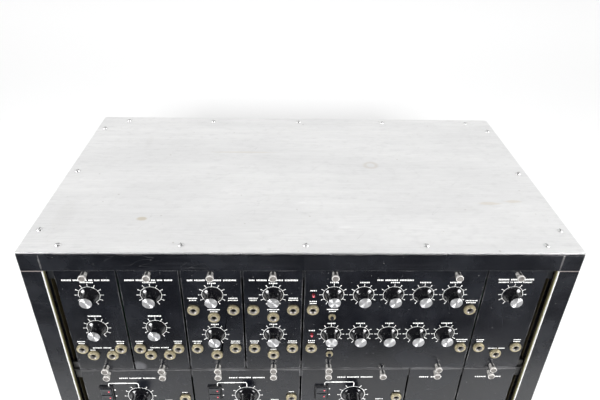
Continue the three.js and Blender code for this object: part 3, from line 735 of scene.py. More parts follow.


def panel_finish(module):
    """Black painted panel: glossy, with bare cut edges, worn corners, fine scratches and dust."""
    material, tree, shader = finish_of("black_panel_" + module)
    low, high = PANELS[module]
    low = metres((low[0], PANEL_FACE, low[2]))
    high = metres((high[0], PANEL_FACE + PANEL_THICKNESS, high[2]))
    worn = use(tree, EDGE_WEAR, Low=low, High=high, Width=0.0008, Patches=45.0)
    cloud = use(tree, GRAIN, Scale=24.0, Detail=5.0)
    fine = use(tree, GRAIN, Scale=1300.0, Detail=2.0)
    peel = use(tree, GRAIN, Scale=260.0, Detail=2.0)
    specks = use(tree, DUST, Scale=420.0, Size=0.24, Share=0.05)
    turn = (0.0, 0.3, 0.0)
    lines = use(tree, SCRATCHES, Stretch=(7.0, 1.0, 1.0), Turn=turn, Scale=14.0, Line=0.003, Share=0.34)
    colour = mottled(tree, cloud, (0.002, 0.0025, 0.004), (0.005, 0.006, 0.009), 0.35)
    colour = blend(tree, ramp(tree, peel, 0.5, 0.8, 0.0, 0.35), colour, (0.012, 0.012, 0.015))
    colour = layered(
        tree, colour,
        (lines, 0.18, (0.08, 0.08, 0.09)), (specks, 0.5, grey(0.30)), (worn, 0.6, (0.34, 0.34, 0.35)),
    )
    metal = times(tree, worn, 0.8)
    rough = plus(tree, ramp(tree, cloud, 0.3, 0.7, 0.20, 0.30), times(tree, lines, 0.06))
    height = plus(tree, fine, times(tree, peel, 0.5))
    link(tree, shader, colour, rough, metal, height=height, depth=0.02)
    x, _, z = edge_distances(tree, here(tree), low, high)
    side = mottled(tree, cloud, (0.015, 0.015, 0.016), (0.05, 0.05, 0.052))
    repaint(material, below(tree, x, CUT_SIDE / MM), side, 0.3, 0.4)
    bare = mottled(tree, cloud, (0.09, 0.09, 0.093), (0.20, 0.20, 0.205))
    repaint(material, below(tree, z, CUT_END / MM), bare, 0.3, 0.4)
    # a paler smear over filter_b's lower left corner
    if module == "filter_b":
        inset = PALE_SMEAR_INSET / MM
        corner = (low[0] + inset, PANEL_FACE / MM, low[2] + inset)
        pale_smear = use(tree, SMEAR, Place=corner, Reach=metres(PALE_SMEAR_REACH), Ragged=0.4)
        repaint(material, times(tree, pale_smear, 0.55), (0.10, 0.10, 0.108))
    return material


def rail_finish():
    """Zinc-grey rail, rolled along X."""
    material, tree, shader = finish_of("rail_metal", Metallic=1.0)
    fine = use(tree, GRAIN, Stretch=(0.1, 1.0, 1.0), Scale=1100.0)
    cloud = use(tree, GRAIN, Scale=60.0, Detail=5.0)
    colour = mottled(tree, cloud, (0.13, 0.13, 0.14), (0.21, 0.21, 0.22))
    colour = blend(tree, ramp(tree, fine, 0.3, 0.7, 0.0, 0.4), colour, grey(0.09))
    link(tree, shader, colour, ramp(tree, cloud, 0.3, 0.7, 0.34, 0.5), height=fine)
    return material


BOARD_MIDDLE = 16.8  # from the panels' faces back to the middle of a board
BOARD_HALF = 0.85  # half a board's thickness, and a little more


def board_finish():
    """Circuit board green in the board's own thickness, dark moulded plastic elsewhere."""
    material, tree, shader = finish_of("circuit_board")
    depth = minus(tree, split(tree, here(tree))[1], PANEL_FACE / MM)
    near = sums(tree, "ABSOLUTE", minus(tree, depth, BOARD_MIDDLE / MM))
    board = below(tree, near, BOARD_HALF / MM)
    cloud = use(tree, GRAIN, Scale=300.0, Detail=4.0)
    tracks = use(tree, SCRATCHES, Stretch=(1.0, 1.0, 6.0), Scale=60.0, Line=0.05, Share=0.8)
    green = mottled(tree, cloud, (0.010, 0.075, 0.040), (0.016, 0.100, 0.055))
    green = layered(tree, green, (tracks, 0.5, (0.03, 0.17, 0.09)))
    plastic = mottled(tree, cloud, (0.010, 0.010, 0.011), (0.022, 0.022, 0.024))
    rough = ramp(tree, cloud, 0.3, 0.7, 0.35, 0.55)
    link(tree, shader, blend(tree, board, plastic, green), rough, height=cloud)
    return material


INLET_SEAT = 2.25  # from the rear panel's outer face in to where the inlet's body begins


def supply_finish():
    """Folded metal box of the power supply; the inlet's body, from the rear sheet out, is black plastic."""
    material, tree, shader = finish_of("supply_metal")
    y = split(tree, here(tree))[1]
    plastic = sums(tree, "GREATER_THAN", y, (CASE_BACK - INLET_SEAT) / MM)
    cloud = use(tree, GRAIN, Scale=80.0, Detail=5.0)
    metal = mottled(tree, cloud, (0.42, 0.42, 0.43), (0.56, 0.56, 0.57))
    black = mottled(tree, cloud, (0.012, 0.012, 0.013), (0.022, 0.022, 0.024))
    colour = blend(tree, plastic, metal, black)
    rough = ramp(tree, cloud, 0.3, 0.7, 0.35, 0.5)
    link(tree, shader, colour, rough, minus(tree, 1.0, plastic), height=cloud)
    return material


def gloss_black_finish():
    """Polished black knob moulding with faint finger marks and dust."""
    material, tree, shader = finish_of("knob_black")
    cloud = use(tree, GRAIN, Scale=160.0, Detail=4.0)
    specks = use(tree, DUST, Scale=900.0, Size=0.25, Share=0.05)
    colour = mottled(tree, cloud, (0.002, 0.002, 0.003), (0.005, 0.005, 0.006))
    colour = layered(tree, colour, (specks, 0.5, grey(0.3)))
    link(tree, shader, colour, ramp(tree, cloud, 0.35, 0.7, 0.02, 0.05), height=cloud, depth=0.003)
    return material


def spun_cap_finish():
    """Spun aluminium: fine rings about the cap's axis, so light fans out across them."""
    material, tree, shader = finish_of("spun_cap", Metallic=0.9, Anisotropic=0.93, Anisotropic_Rotation=0.25)
    reach = add(tree, "Attribute", attribute_name="reach").outputs["Fac"]
    spun = {"W": times(tree, reach, 9.0), "Scale": 1.0, "Detail": 2.0}
    rings = add(tree, "TexNoise", spun, noise_dimensions="1D").outputs[0]
    cloud = use(tree, GRAIN, Scale=500.0)
    colour = mottled(tree, rings, (0.62, 0.62, 0.63), (0.78, 0.78, 0.79))
    tangent = add(tree, "Tangent", direction_type="RADIAL", axis="Y")
    tree.links.new(tangent.outputs[0], shader.inputs["Tangent"])
    link(tree, shader, colour, ramp(tree, cloud, 0.3, 0.7, 0.56, 0.66), height=rings, depth=0.01)
    return material


def plated_finish(name, light, dark, rough, metallic=1.0):
    """Plated metal: two close tones, finger marks in the gloss and dark specks."""
    material, tree, shader = finish_of(name, Metallic=metallic)
    cloud = use(tree, GRAIN, Scale=350.0, Detail=4.0)
    fine = use(tree, GRAIN, Scale=2500.0, Detail=1.0)
    specks = use(tree, DUST, Scale=1500.0, Size=0.3, Share=0.1)
    colour = layered(tree, mottled(tree, cloud, dark, light), (specks, 0.4, (0.08, 0.07, 0.06)))
    link(tree, shader, colour, ramp(tree, cloud, 0.3, 0.75, rough, rough + 0.12), height=fine, depth=0.01)
    return material


def plastic_finish(name, dark, light, rough):
    """Moulded plastic or rubber with a fine even grain and a little dust."""
    material, tree, shader = finish_of(name)
    cloud = use(tree, GRAIN, Scale=200.0, Detail=4.0)
    fine = use(tree, GRAIN, Scale=2200.0, Detail=2.0)
    specks = use(tree, DUST, Scale=700.0, Size=0.25, Share=0.08)
    colour = layered(tree, mottled(tree, cloud, dark, light), (specks, 0.4, grey(0.25)))
    link(tree, shader, colour, ramp(tree, cloud, 0.3, 0.7, rough, rough + 0.12), height=fine)
    return material


def print_finish():
    """White screen-printed ink, thin in places, where the black below dulls it."""
    material, tree, shader = finish_of("white_print")
    cloud = use(tree, GRAIN, Scale=900.0)
    colour = mottled(tree, cloud, (0.52, 0.52, 0.51), (0.84, 0.84, 0.82), 0.3, 0.55)
    link(tree, shader, colour, ramp(tree, cloud, 0.3, 0.7, 0.45, 0.6))
    return material


def lamp_finish():
    """Clear red plastic over a glowing lamp: a painted highlight of pale red at its tip, where it also glows
    most, and dark red round its foot.
    """
    material, tree, shader = finish_of("red_lamp", Coat_Weight=0.4, Emission_Strength=0.35)
    cloud = use(tree, GRAIN, Scale=700.0, Detail=2.0)
    reach = add(tree, "Attribute", attribute_name="reach").outputs["Fac"]
    # painted highlight: pale red, and the strongest glow, at the dome's tip
    highlight_and_glow_tip = ramp(tree, reach, 0.3, 1.15, 1.0, 0.0)
    colour = mottled(tree, cloud, (0.10, 0.008, 0.012), (0.16, 0.014, 0.02))
    colour = blend(tree, highlight_and_glow_tip, colour, (0.62, 0.10, 0.13))
    glow = blend(tree, highlight_and_glow_tip, (0.02, 0.002, 0.003), (0.60, 0.08, 0.10))
    link(tree, shader, colour, ramp(tree, cloud, 0.3, 0.7, 0.08, 0.2), glow=glow)
    return material


SCREW_NECK = 6.3  # from the panels' faces out to where a panel screw's head begins


def screw_finish():
    """Nickel plate, with a painted dark reflection along the upper side of the shank."""
    material = plated_finish("nickel", (0.84, 0.82, 0.79), (0.70, 0.68, 0.65), 0.22, 0.4)
    tree = material.node_tree
    up = split(tree, add(tree, "NewGeometry").outputs["Normal"])[2]
    depth = minus(tree, split(tree, here(tree))[1], (PANEL_FACE - SCREW_NECK) / MM)
    shank = sums(tree, "GREATER_THAN", depth, 0.0)
    # painted reflection: the shank's upper side painted near black
    repaint(material, times(tree, ramp(tree, up, 0.86, 0.95), shank), grey(0.05), None, 0.3)
    return material


# CAD pieces
def dress(finish, *names):
    """Gives CAD pieces a finish in place of their own."""
    for name in names:
        slots = frame["nodes"][name].data.materials
        slots.clear()
        slots.append(finish)


SHARP_EDGE = 50  # degrees between two faces, past which soften rounds their edge


def soften(names, width):
    """Merges a CAD piece's loose triangles in a modifier and rounds its sharp edges a little."""
    for name in names:
        made = frame["nodes"][name]
        weld = made.modifiers.new("weld", "WELD")
        weld.merge_threshold = 0.01 / MM
        flat = made.modifiers.new("flat", "DECIMATE")
        flat.decimate_type = "DISSOLVE"
        flat.angle_limit = math.radians(1)
        bevel = made.modifiers.new("bevel", "BEVEL")
        bevel.width = width / MM
        bevel.segments = 2
        bevel.limit_method = "ANGLE"
        bevel.angle_limit = math.radians(SHARP_EDGE)
        bevel.harden_normals = True


dress(top_plate_finish(), "top_plate")
dress(rear_panel_finish(), "rear_panel")
dress(header_finish(), "front_header")
dress(base_finish(), "base_tray")
for name in ("left_stile", "right_stile"):
    dress(stile_finish(name), name)
for name in ("left_side", "right_side"):
    side_top = high_of(name)[2]
    dress(black_bar_finish(name, top=side_top, foot=side_top - BAR_SIZE), name)
dress(rail_finish(), "middle_rail_1")
dress(supply_finish(), "power_supply")
dress(board_finish(), *(name for name in NODES if name.endswith("_board")))
for module in MODULES:
    dress(panel_finish(module), module + "_panel")
METALWORK = (
    "top_plate", "front_header", "left_stile", "right_stile", "left_side", "right_side", "middle_rail_1",
)
soften(METALWORK, 0.4)
soften([module + "_panel" for module in MODULES], 0.35)

# Knobs
FLUTE_DEPTH = 0.012  # as a share of the radius, on knobs, socket nuts and panel screws
KNOB_BLACK = gloss_black_finish()
SPUN_CAP = spun_cap_finish()


def bell(skirt, barrel, rim):
    """Rows of a bell: a fillet off the barrel, a slanting flank and a round rim.

    The flank is a straight line from knee to brim, swelled along its normal by
    4 swell t (1 - t) at share t.
    """
    knee = np.array([barrel + 0.65, -rim - 2.4])
    brim = np.array([skirt - 0.16, -rim - 0.2])
    swell = 0.06
    run = (brim - knee) / np.linalg.norm(brim - knee)
    t = np.linspace(0, 1, 6)[:, None]
    flank = knee + (brim - knee) * t + 4 * swell * t * (1 - t) * np.array([run[1], -run[0]])
    fillet = [
        (barrel + away, knee[1] - before) for away, before in ((0.08, 0.75), (0.2, 0.3), (0.42, 0.06))
    ]
    return fillet + [tuple(row) for row in flank] + [(skirt - 0.03, -rim + 0.05), (skirt, -rim + 0.25)]


def knob_profile(height, cap, barrel, skirt, rim=1.3, lift=0.8, bore=3.4, bore_end=11):
    """From the cap's seat over the barrel and the bell to the foot, then up the shaft's bore."""
    return (
        [(0, -height), (cap - 0.5, -height), (cap, -height + 0.12, 1), (cap + 0.12, -height + 0.5, 1)]
        + [(barrel, -rim - 5.6, 1), (barrel + 0.04, -rim - 4.3)]
        + bell(skirt, barrel, rim)
        + [(skirt, -lift - 0.2), (skirt - 0.2, -lift)]
        + [(bore, -lift), (bore, -bore_end), (0, -bore_end)]
    )


def cap_profile(height, radius):
    """A flat disc with a very small rolled rim, seated on the knob's end."""
    end, seat = -height - 0.7, -height - 0.02
    return [
        (0, end), (radius * 0.3, end), (radius * 0.65, end), (radius - 0.3, end),
        (radius - 0.06, end + 0.15), (radius, end + 0.4), (radius, seat), (0, seat),
    ]


def knob(height, cap, barrel, skirt, sides, cap_sides, flutes, **more):
    """A knob's moulding and its cap, turned about one axis."""
    body = turned(knob_profile(height, cap, barrel, skirt, **more), sides, flutes=(flutes, FLUTE_DEPTH))
    return body, turned(cap_profile(height, cap + 0.05), cap_sides)


SMALL_KNOB = knob(height=12.3, cap=6.15, barrel=6.5, skirt=9.7, sides=60, cap_sides=48, flutes=30)
TUNING_KNOB = knob(
    height=17.3, cap=8.15, barrel=8.6, skirt=12.0, sides=72, cap_sides=60, flutes=36, rim=1.7,
)
for name in SMALL_KNOBS + TUNING_KNOBS:
    body_shape, cap_shape = TUNING_KNOB if name in TUNING_KNOBS else SMALL_KNOB
    place = on_face(middle_of(name))
    piece(name + "_moulding", repeated(body_shape, place), KNOB_BLACK, name, stands_for=[name])
    piece(name + "_cap", repeated(cap_shape, place), SPUN_CAP, name)

# Sockets, buttons and lamps
BRASS = plated_finish("socket_brass", (0.38, 0.335, 0.22), (0.26, 0.225, 0.14), 0.30, 0.6)
BUSHING_BRASS = plated_finish("bushing_brass", (0.56, 0.51, 0.38), (0.42, 0.37, 0.26), 0.24, 0.6)
NICKEL = screw_finish()
SATIN = plated_finish("satin_screw_head", (0.20, 0.19, 0.175), (0.11, 0.10, 0.095), 0.3, 0.4)
STEEL = plated_finish("screw_steel", grey(0.74), grey(0.60), 0.3)
KEY_BLACK = plastic_finish("key_black", (0.006, 0.007, 0.009), (0.012, 0.013, 0.016), 0.16)
# painted shade: near-black stand-in for the darkness inside the socket bores and the screw slots
RECESS_SHADE = plastic_finish("painted_recess_shade", grey(0.002), grey(0.005), 0.6)
RUBBER = plastic_finish("foot_rubber", grey(0.012), grey(0.024), 0.7)
RED = lamp_finish()
INK = print_finish()

NUT = turned([
    (4.35, -2.62), (5.3, -2.66), (5.85, -2.5), (6.2, -2.1, 1), (6.28, -1.7, 1), (6.28, -0.5, 1),
    (6.1, -0.05), (4.75, -0.05), (4.72, -2.3), (4.35, -2.45),
], 48, hollow=True, flutes=(24, FLUTE_DEPTH))
BUSHING = turned([
    (3.6, -2.3), (3.62, -3.16), (3.9, -3.2), (4.2, -3.05), (4.3, -2.75), (4.1, -2.3),
], 36, hollow=True)
FUNNEL = turned([
    (3.5, -1.9), (3.2, -0.9), (2.42, -0.9), (2.5, -2.3), (3.3, -3.12), (3.58, -3.14),
], 36, hollow=True)
# a near-black lining of painted shade inside each socket's bore
WELL = turned([
    (3.05, -0.95), (3.1, 22.0), (0, 22.0), (0, 21.6), (2.38, 21.6), (2.38, -0.95),
], 28, hollow=True)
socket_places = [on_face(place) for place in SOCKETS]
for name, shape, finish in (
    ("socket_nuts", NUT, BRASS), ("socket_bushings", BUSHING, BUSHING_BRASS),
    ("socket_funnels", FUNNEL, SATIN), ("socket_wells", WELL, RECESS_SHADE),
):
    piece(name, repeated(shape, socket_places), finish)

BUTTON_NUT = turned([
    (2.1, -1.85), (3.1, -1.95), (3.7, -1.75), (3.95, -1.35, 1), (3.95, -0.3, 1), (3.8, -0.05), (2.1, -0.05),
], 36, hollow=True, flutes=(12, 0.04))
PLUNGER = turned([
    (0, -4.2), (1.3, -4.15), (1.7, -3.95), (1.9, -3.5), (1.9, 6.0), (0, 6.0),
], 32)
button_places = [on_face(middle_of(name)) for name in BUTTONS]
piece("button_nuts", repeated(BUTTON_NUT, button_places), BRASS)
for name, place in zip(BUTTONS, button_places):
    piece(name + "_plunger", repeated(PLUNGER, place), KEY_BLACK, name, stands_for=[name])

LAMP_RADIUS = 1.72
LAMP_COLLAR, LAMP_RISE = 1.95, 1.65  # from the panel's face to the dome's foot, and on to its tip
LAMP_COLUMN = middle_of("envelope_delay_knob_1")[0] - UNIT / 3
lamp_places = [
    (LAMP_COLUMN, PANEL_FACE, middle_of("envelope_delay_knob_%d" % number)[2]) for number in (1, 2)
]
# the dome is a quarter of an ellipse turned about the lamp's axis
dome = [
    (LAMP_RADIUS * math.sin(tilt), -LAMP_COLLAR - LAMP_RISE * math.cos(tilt))
    for tilt in np.linspace(0, np.pi / 2, 7)
]
LAMP = turned(dome + [(LAMP_RADIUS, -0.05), (0, -0.05)], 28)
piece("lamp_domes", repeated(LAMP, lamp_places), RED)

# Captive panel screws
SCREW_INSET = 4  # from a panel's upper or lower edge


def screw_places():
    """Each panel's screws: on its centre line, or half or one unit to both sides of it."""
    found = []
    for low, high in PANELS.values():
        units = round((high[0] - low[0] + PANEL_GAP) / UNIT)
        sides = {1: [0], 2: [-UNIT / 2, UNIT / 2], 3: [-UNIT, UNIT]}[units]
        for x in sides:
            for z in (high[2] - SCREW_INSET, low[2] + SCREW_INSET):
                found.append(((low[0] + high[0]) / 2 + x, PANEL_FACE, z))
    return np.array(found)


THUMB_SCREW = turned([
    (0, -8.1), (2.1, -8.1), (2.5, -8.26), (3.45, -8.3), (3.68, -8.16), (3.75, -7.8, 1), (3.75, -6.5, 1),
    (3.7, -SCREW_NECK), (3.45, -5.7), (3.1, -3.4), (2.9, -0.9), (2.9, -0.04), (0, -0.04),
], 36, flutes=(18, FLUTE_DEPTH))
SCREW_FACE = turned([
    (0, -8.14), (2.0, -8.14), (2.4, -8.28), (2.8, -8.36), (3.15, -8.33), (3.25, -8.2), (0, -8.05),
], 36)
thumb_places = screw_places()
piece("panel_screws", repeated(THUMB_SCREW, thumb_places), NICKEL)
piece("panel_screw_faces", repeated(SCREW_FACE, thumb_places), SATIN)

# Keys
def key_shape(width, height, front, back):
    """A key's skin: rounded rings from a slightly hollow front face back along its shank.

    A ring is the key's rectangle drawn in by its inset on all sides, at its own depth.
    """
    y = np.array([front + 0.3, front + 0.05, front, front + 0.2, front + 0.9, back])
    inset = np.array([4.2, 1.6, 0.85, 0.3, 0.0, 0.0])
    rings = []
    for depth, step in zip(y, inset):
        ring = rounded_ring(width - 2 * step, height - 2 * step, min(0.7, 0.3 * (height - 2 * step)))
        rings.append(np.stack([ring[:, 0], np.full(len(ring), depth), ring[:, 1]], -1))
    return swept(np.array(rings))


KEY_LAMP_OFFSET, KEY_LAMP_SEAT = 3.3, 0.15  # right of the key's middle, and into its face
KEY_LAMP = turned([(0, -0.5), (0.7, -0.45), (1.15, -0.15), (1.2, 0.4), (0, 0.4)], 20)
for name in KEYS:
    low, high = low_of(name), high_of(name)
    x, _, z = (low + high) / 2
    cap = key_shape(high[0] - low[0], high[2] - low[2], low[1], high[1])
    piece(name + "_cap", repeated(cap, (x, 0, z)), KEY_BLACK, name, stands_for=[name])
    lamp_place = (x + KEY_LAMP_OFFSET, low[1] + KEY_LAMP_SEAT, z)
    piece(name + "_lamp", repeated(KEY_LAMP, lamp_place), RED, name)

# Printing
INK_FRONT, INK_BACK = PANEL_FACE - 0.05, PANEL_FACE + 0.02
# marks that overlap lie in layers, so that no two of them share a plane
TICK_LAYER, DOT_LAYER, LINE_LAYER, LETTER_LAYER = 0.01, 0.02, 0.03, 0.04
DASH_WIDTH, DASH_HEIGHT = 0.6, 0.9  # of a letter's share of its label, and of the label's height
PAIR_HEIGHT, PAIR_PITCH = 1.45, 2.75  # of two short lines of lettering, one below the other


def ink_dot(radius, layer, sides):
    """A flat round dot of ink about the origin, with its face in a layer."""
    front = INK_FRONT - layer
    return turned([(0, front), (radius, front), (radius, INK_BACK), (0, INK_BACK)], sides)


def dial_print(ring, ring_width, dot_ring, dot, tick, top_reach):
    """A ring open at its foot, eleven ticks 30 degrees apart, and a dot at the end of all but the top one."""
    angle = np.radians(np.arange(-150, 151, 30))
    out = np.stack([np.sin(angle), np.zeros(11), np.cos(angle)], -1)
    end = np.where(angle == 0, top_reach, dot_ring)
    middle = (ring + end) / 2
    front = INK_FRONT - TICK_LAYER
    depth = INK_BACK - front
    ticks = slabs(
        out * middle[:, None] + (0, (front + INK_BACK) / 2, 0),
        np.stack([np.full(11, tick), np.full(11, depth), end - ring], -1),
        angle,
    )
    dots = repeated(ink_dot(dot, DOT_LAYER, 14), (out * dot_ring)[angle != 0])
    return gathered([arc_strip(ring, ring_width, -150, 150, INK_FRONT, INK_BACK, 60), ticks, dots])


def lettering(middle, drop, width, height, words):
    """A label as a run of short upright dashes: one per letter, and a space between words.

    The width is shared evenly among letters and spaces, and a dash takes a part of its share.
    """
    cells = np.concatenate([[1] * count + [0] for count in words])[:-1].astype(bool)
    pitch = width / len(cells)
    x = ((np.arange(len(cells)) + 0.5) * pitch - width / 2 + middle)[cells]
    dash = (-drop, DASH_WIDTH * pitch, DASH_HEIGHT * height, LETTER_LAYER)
    return np.array([(place, *dash) for place in x])


def line(x, drop, width, height):
    """A plain bar about its middle."""
    return np.array([[x, -drop, width, height, LINE_LAYER]])


def labels_on(module, rows):
    """Rows of (x, z, width, height, layer) about a panel's head as thin slabs on its face."""
    rows = np.concatenate(rows)
    front = INK_FRONT - rows[:, 4]
    x, _, z = panel_head(module)
    middles = np.stack([rows[:, 0] + x, (front + INK_BACK) / 2, rows[:, 1] + z], -1)
    return slabs(middles, np.stack([rows[:, 2], INK_BACK - front, rows[:, 3]], -1))


def pair(x, drop, first, second, letters=(7, 5)):
    """Two short lines of lettering, one below the other."""
    return [
        lettering(x, drop, first, PAIR_HEIGHT, [letters[0]]),
        lettering(x, drop + PAIR_PITCH, second, PAIR_HEIGHT, [letters[1]]),
    ]


# Labels by their place right of and below a panel's head, their size and their words' lengths
OUTER, INNER = UNIT / 3, UNIT / 6
FILTER_LABELS = (
    [lettering(-0.4, 12.3, 46.8, 2.0, (7, 10, 3, 4, 6)), lettering(0, 15.1, 13.2, 1.6, [9])]
    + [lettering(0, 60.1, 13.9, 1.7, [9])]
    + pair(-OUTER, 96.8, 8.4, 6.6) + pair(OUTER, 96.8, 8.8, 7.6)
    + [lettering(0, 106.3, 19.7, 1.5, (7, 6))]
    + [lettering(-INNER, 109.6, 5.4, 1.35, [4]), lettering(INNER, 109.6, 4.2, 1.35, [3])]
)
AMPLIFIER_LABELS = (
    [lettering(0.4, 12.4, 48.8, 2.0, (4, 7, 10, 9)), lettering(0, 16.3, 8.9, 1.6, [5])]
    + pair(-OUTER, 36.0, 9.8, 7.6) + pair(OUTER, 36.0, 9.6, 10.4, (6, 7))
    + pair(0, 51.5, 12.5, 7.9, (9, 5)) + [lettering(0, 72.2, 8.7, 1.6, [5])]
    + pair(-OUTER, 96.9, 9.8, 7.6) + pair(OUTER, 96.9, 9.6, 10.4, (6, 7))
    + [lettering(0, 109.5, 6.8, 1.45, [5])]
)
STAGE_WIDTHS = ((8.8, 5), (9.8, 6), (9.2, 5), (11.5, 7), (11.8, 7))
ENVELOPE_LABELS = [lettering(0, 12.3, 37, 1.9, (4, 8, 9))]
for label_drop, lamp_drop, socket_drop, right_drop in ((15.3, 26.0, 40.4, 39.6), (71.2, 81.6, 96.6, 95.7)):
    for step, (wide, letters) in enumerate(STAGE_WIDTHS):
        ENVELOPE_LABELS.append(lettering((step - 2) * UNIT / 2, label_drop, wide, 1.6, [letters]))
    ENVELOPE_LABELS.append(lettering(-UNIT - OUTER, lamp_drop, 7.0, 1.5, [4]))
    ENVELOPE_LABELS += pair(-UNIT - OUTER, socket_drop, 7.8, 7.4, (4, 5))
    ENVELOPE_LABELS += pair(UNIT + OUTER, right_drop, 12.8, 10.2, (8, 6))
ENVELOPE_LABELS += pair(-UNIT, 51.4, 11.8, 7.3, (9, 5)) + [lettering(-UNIT, 109.3, 6.5, 1.5, [5])]
SHAPER_LABELS = (
    [lettering(-0.4, 11.5, 36.2, 2.0, (7, 7, 7)), lettering(-0.6, 15.0, 34, 1.5, (8, 2, 6, 7))]
    + pair(-OUTER, 96.2, 8.4, 7.0) + pair(OUTER, 96.2, 8.4, 7.6)
    + [lettering(0, 109.3, 18.6, 1.5, (7, 5))]
)
BRACKET_WIDTH, BRACKET_RADIUS = 0.8, 2.0
BRACKET_CORNERS = ((-31.3, -22.8), (-2.0, -22.8))  # centres of the bracket's two round corners
KEY_DOTS = ((-27.4, -32.2), (-27.4, -42.35))
KEY_DOT_RADIUS = 0.85
OSCILLATOR_LABELS = [
    lettering(-15.0, 12.5, 9.8, 2.0, [5]), lettering(-1.9, 12.5, 13.5, 2.0, [9]),
    lettering(13.6, 12.5, 13.6, 2.0, [10]),
    line(-16.7, 20.8, 29.2, BRACKET_WIDTH), line(-33.3, 24.9, BRACKET_WIDTH, 4.2),
    line(0, 25.2, BRACKET_WIDTH, 5.6),
    lettering(-19.4, 20.8, 12.8, 2.0, [8]), lettering(-6.2, 20.8, 10.5, 1.5, [6]),
    lettering(31.5, 50.6, 9.0, 1.5, [6]), lettering(UNIT / 2 + OUTER, 37.0, 6.5, 1.4, [4]),
]
LABELS = {
    "filter_a": FILTER_LABELS, "filter_b": FILTER_LABELS,
    "amplifier_a": AMPLIFIER_LABELS, "amplifier_b": AMPLIFIER_LABELS,
    "envelope": ENVELOPE_LABELS, "shaper": SHAPER_LABELS,
    "mixer": [lettering(-5.0, 12.9, 26.0, 1.9, (5, 6))],
    "output": [lettering(0.0, 12.9, 30.0, 1.9, (6, 7))],
}
SMALL_DIAL = dial_print(ring=10.6, ring_width=0.30, dot_ring=13.9, dot=0.46, tick=0.42, top_reach=14.6)
LARGE_DIAL = dial_print(ring=13.9, ring_width=0.40, dot_ring=17.2, dot=0.60, tick=0.50, top_reach=19.6)


def bracket_corner(start, end):
    """A quarter of a round strip, which joins a key bank's bracket lines."""
    return arc_strip(BRACKET_RADIUS, BRACKET_WIDTH, start, end, INK_FRONT, INK_BACK, 8)


printed = [
    repeated(SMALL_DIAL, [middle_of(name) * (1, 0, 1) for name in SMALL_KNOBS]),
    repeated(LARGE_DIAL, [middle_of(name) * (1, 0, 1) for name in TUNING_KNOBS]),
]
printed += [labels_on(module, rows) for module, rows in LABELS.items()]
for module in ("oscillator_a", "oscillator_b", "oscillator_c"):
    head_x, _, head_z = panel_head(module)
    printed.append(labels_on(module, OSCILLATOR_LABELS))
    for (x, z), (start, end) in zip(BRACKET_CORNERS, ((-90, 0), (0, 90))):
        printed.append(repeated(bracket_corner(start, end), (head_x + x, 0, head_z + z)))
    dot_places = [(head_x + x, 0, head_z + z) for x, z in KEY_DOTS]
    printed.append(repeated(ink_dot(KEY_DOT_RADIUS, TICK_LAYER, 16), dot_places))
piece("panel_print", gathered(printed), INK)

# Small fasteners, feet and inlet
SLOT_SIZE, SLOT_PLACE = (3.6, 0.08, 0.6), (0, -1.42, 0)
PAN_HEAD = turned([(0, -1.45), (1.2, -1.4), (2.1, -1.1), (2.75, -0.5), (2.9, 0.0), (0, 0.0)], 28)


def fastened(name, places, facing, turn):
    """Pan heads with their slots on a face of the case, each slot turned by one turn more."""
    places = np.array(places, float)
    way = FACINGS[facing].T
    points, faces, reach = PAN_HEAD
    piece(name, repeated((points @ way, faces, reach), places), STEEL)
    middles = np.zeros(places.shape) + SLOT_PLACE
    # the slots are thin slabs painted near black as their shade
    points, faces, reach = slabs(middles, SLOT_SIZE, np.arange(len(places)) * turn)
    points = points.reshape(len(places), 8, 3) @ way + places[:, None]
    piece(name + "_slots", (points.reshape(-1, 3), faces, reach), RECESS_SHADE)


# Screws by x, by distance behind the bars' faces, and by height
SCREW_COLUMNS = (-234, -118, 1, 118, 236)
TOP_ROWS = (12, 298)
TOP_SIDE_COLUMN, TOP_SIDE_DEPTHS = 260, (37, 155, 273)
SIDE_DEPTHS = (40, 155, 270)
SCREW_HEIGHTS = (20, 330)
fastened(
    "top_screws",
    [(x, BAR_FACE + y, PLATE_TOP) for y in TOP_ROWS for x in SCREW_COLUMNS]
    + [(x, BAR_FACE + y, PLATE_TOP) for x in (-TOP_SIDE_COLUMN, TOP_SIDE_COLUMN) for y in TOP_SIDE_DEPTHS],
    "top", 1.1,
)
fastened("rear_screws", [(x, CASE_BACK, z) for x in SCREW_COLUMNS for z in SCREW_HEIGHTS], "back", 0.9)
for side, x in (("left", -CASE_SIDE), ("right", CASE_SIDE)):
    side_places = [(x, BAR_FACE + y, z) for y in SIDE_DEPTHS for z in SCREW_HEIGHTS]
    fastened(side + "_side_screws", side_places, side, 0.8)

FOOT_INSET = 35  # from the case's side to a foot's centre
FOOT_DEPTHS = (35, 275)
FOOT = turned([
    (9.0, -8.0), (9.7, -7.9), (10.2, -7.4), (10.6, -1.0), (10.6, -0.05), (9.05, -0.05),
], 40, "bottom", hollow=True)
foot_places = [
    (sign * (CASE_SIDE - FOOT_INSET), BAR_FACE + y, FLOOR_PLATE_LOW) for sign in (-1, 1) for y in FOOT_DEPTHS
]
piece("feet_rubber", repeated(FOOT, foot_places), RUBBER)

# the inlet's three blades, about the power supply's middle and seen from the front
BLADES = ((0, 3), (-7, -2), (7, -2))
BLADE_SIZE = (2.0, 12.0, 4.5)
BLADE_DEPTH = 9  # from the inlet's mouth in to a blade's middle
inlet_x, _, inlet_z = middle_of("power_supply")
blade_y = high_of("power_supply")[1] - BLADE_DEPTH
blades = slabs([(inlet_x + x, blade_y, inlet_z + z) for x, z in BLADES], BLADE_SIZE)
piece("inlet_blades", blades, BRASS)

# Stage and light, in metres
POOL = ((0.02, -0.66, 0), (0.42, 0.16, 1))  # middle and reach of the pale oval on the grey card


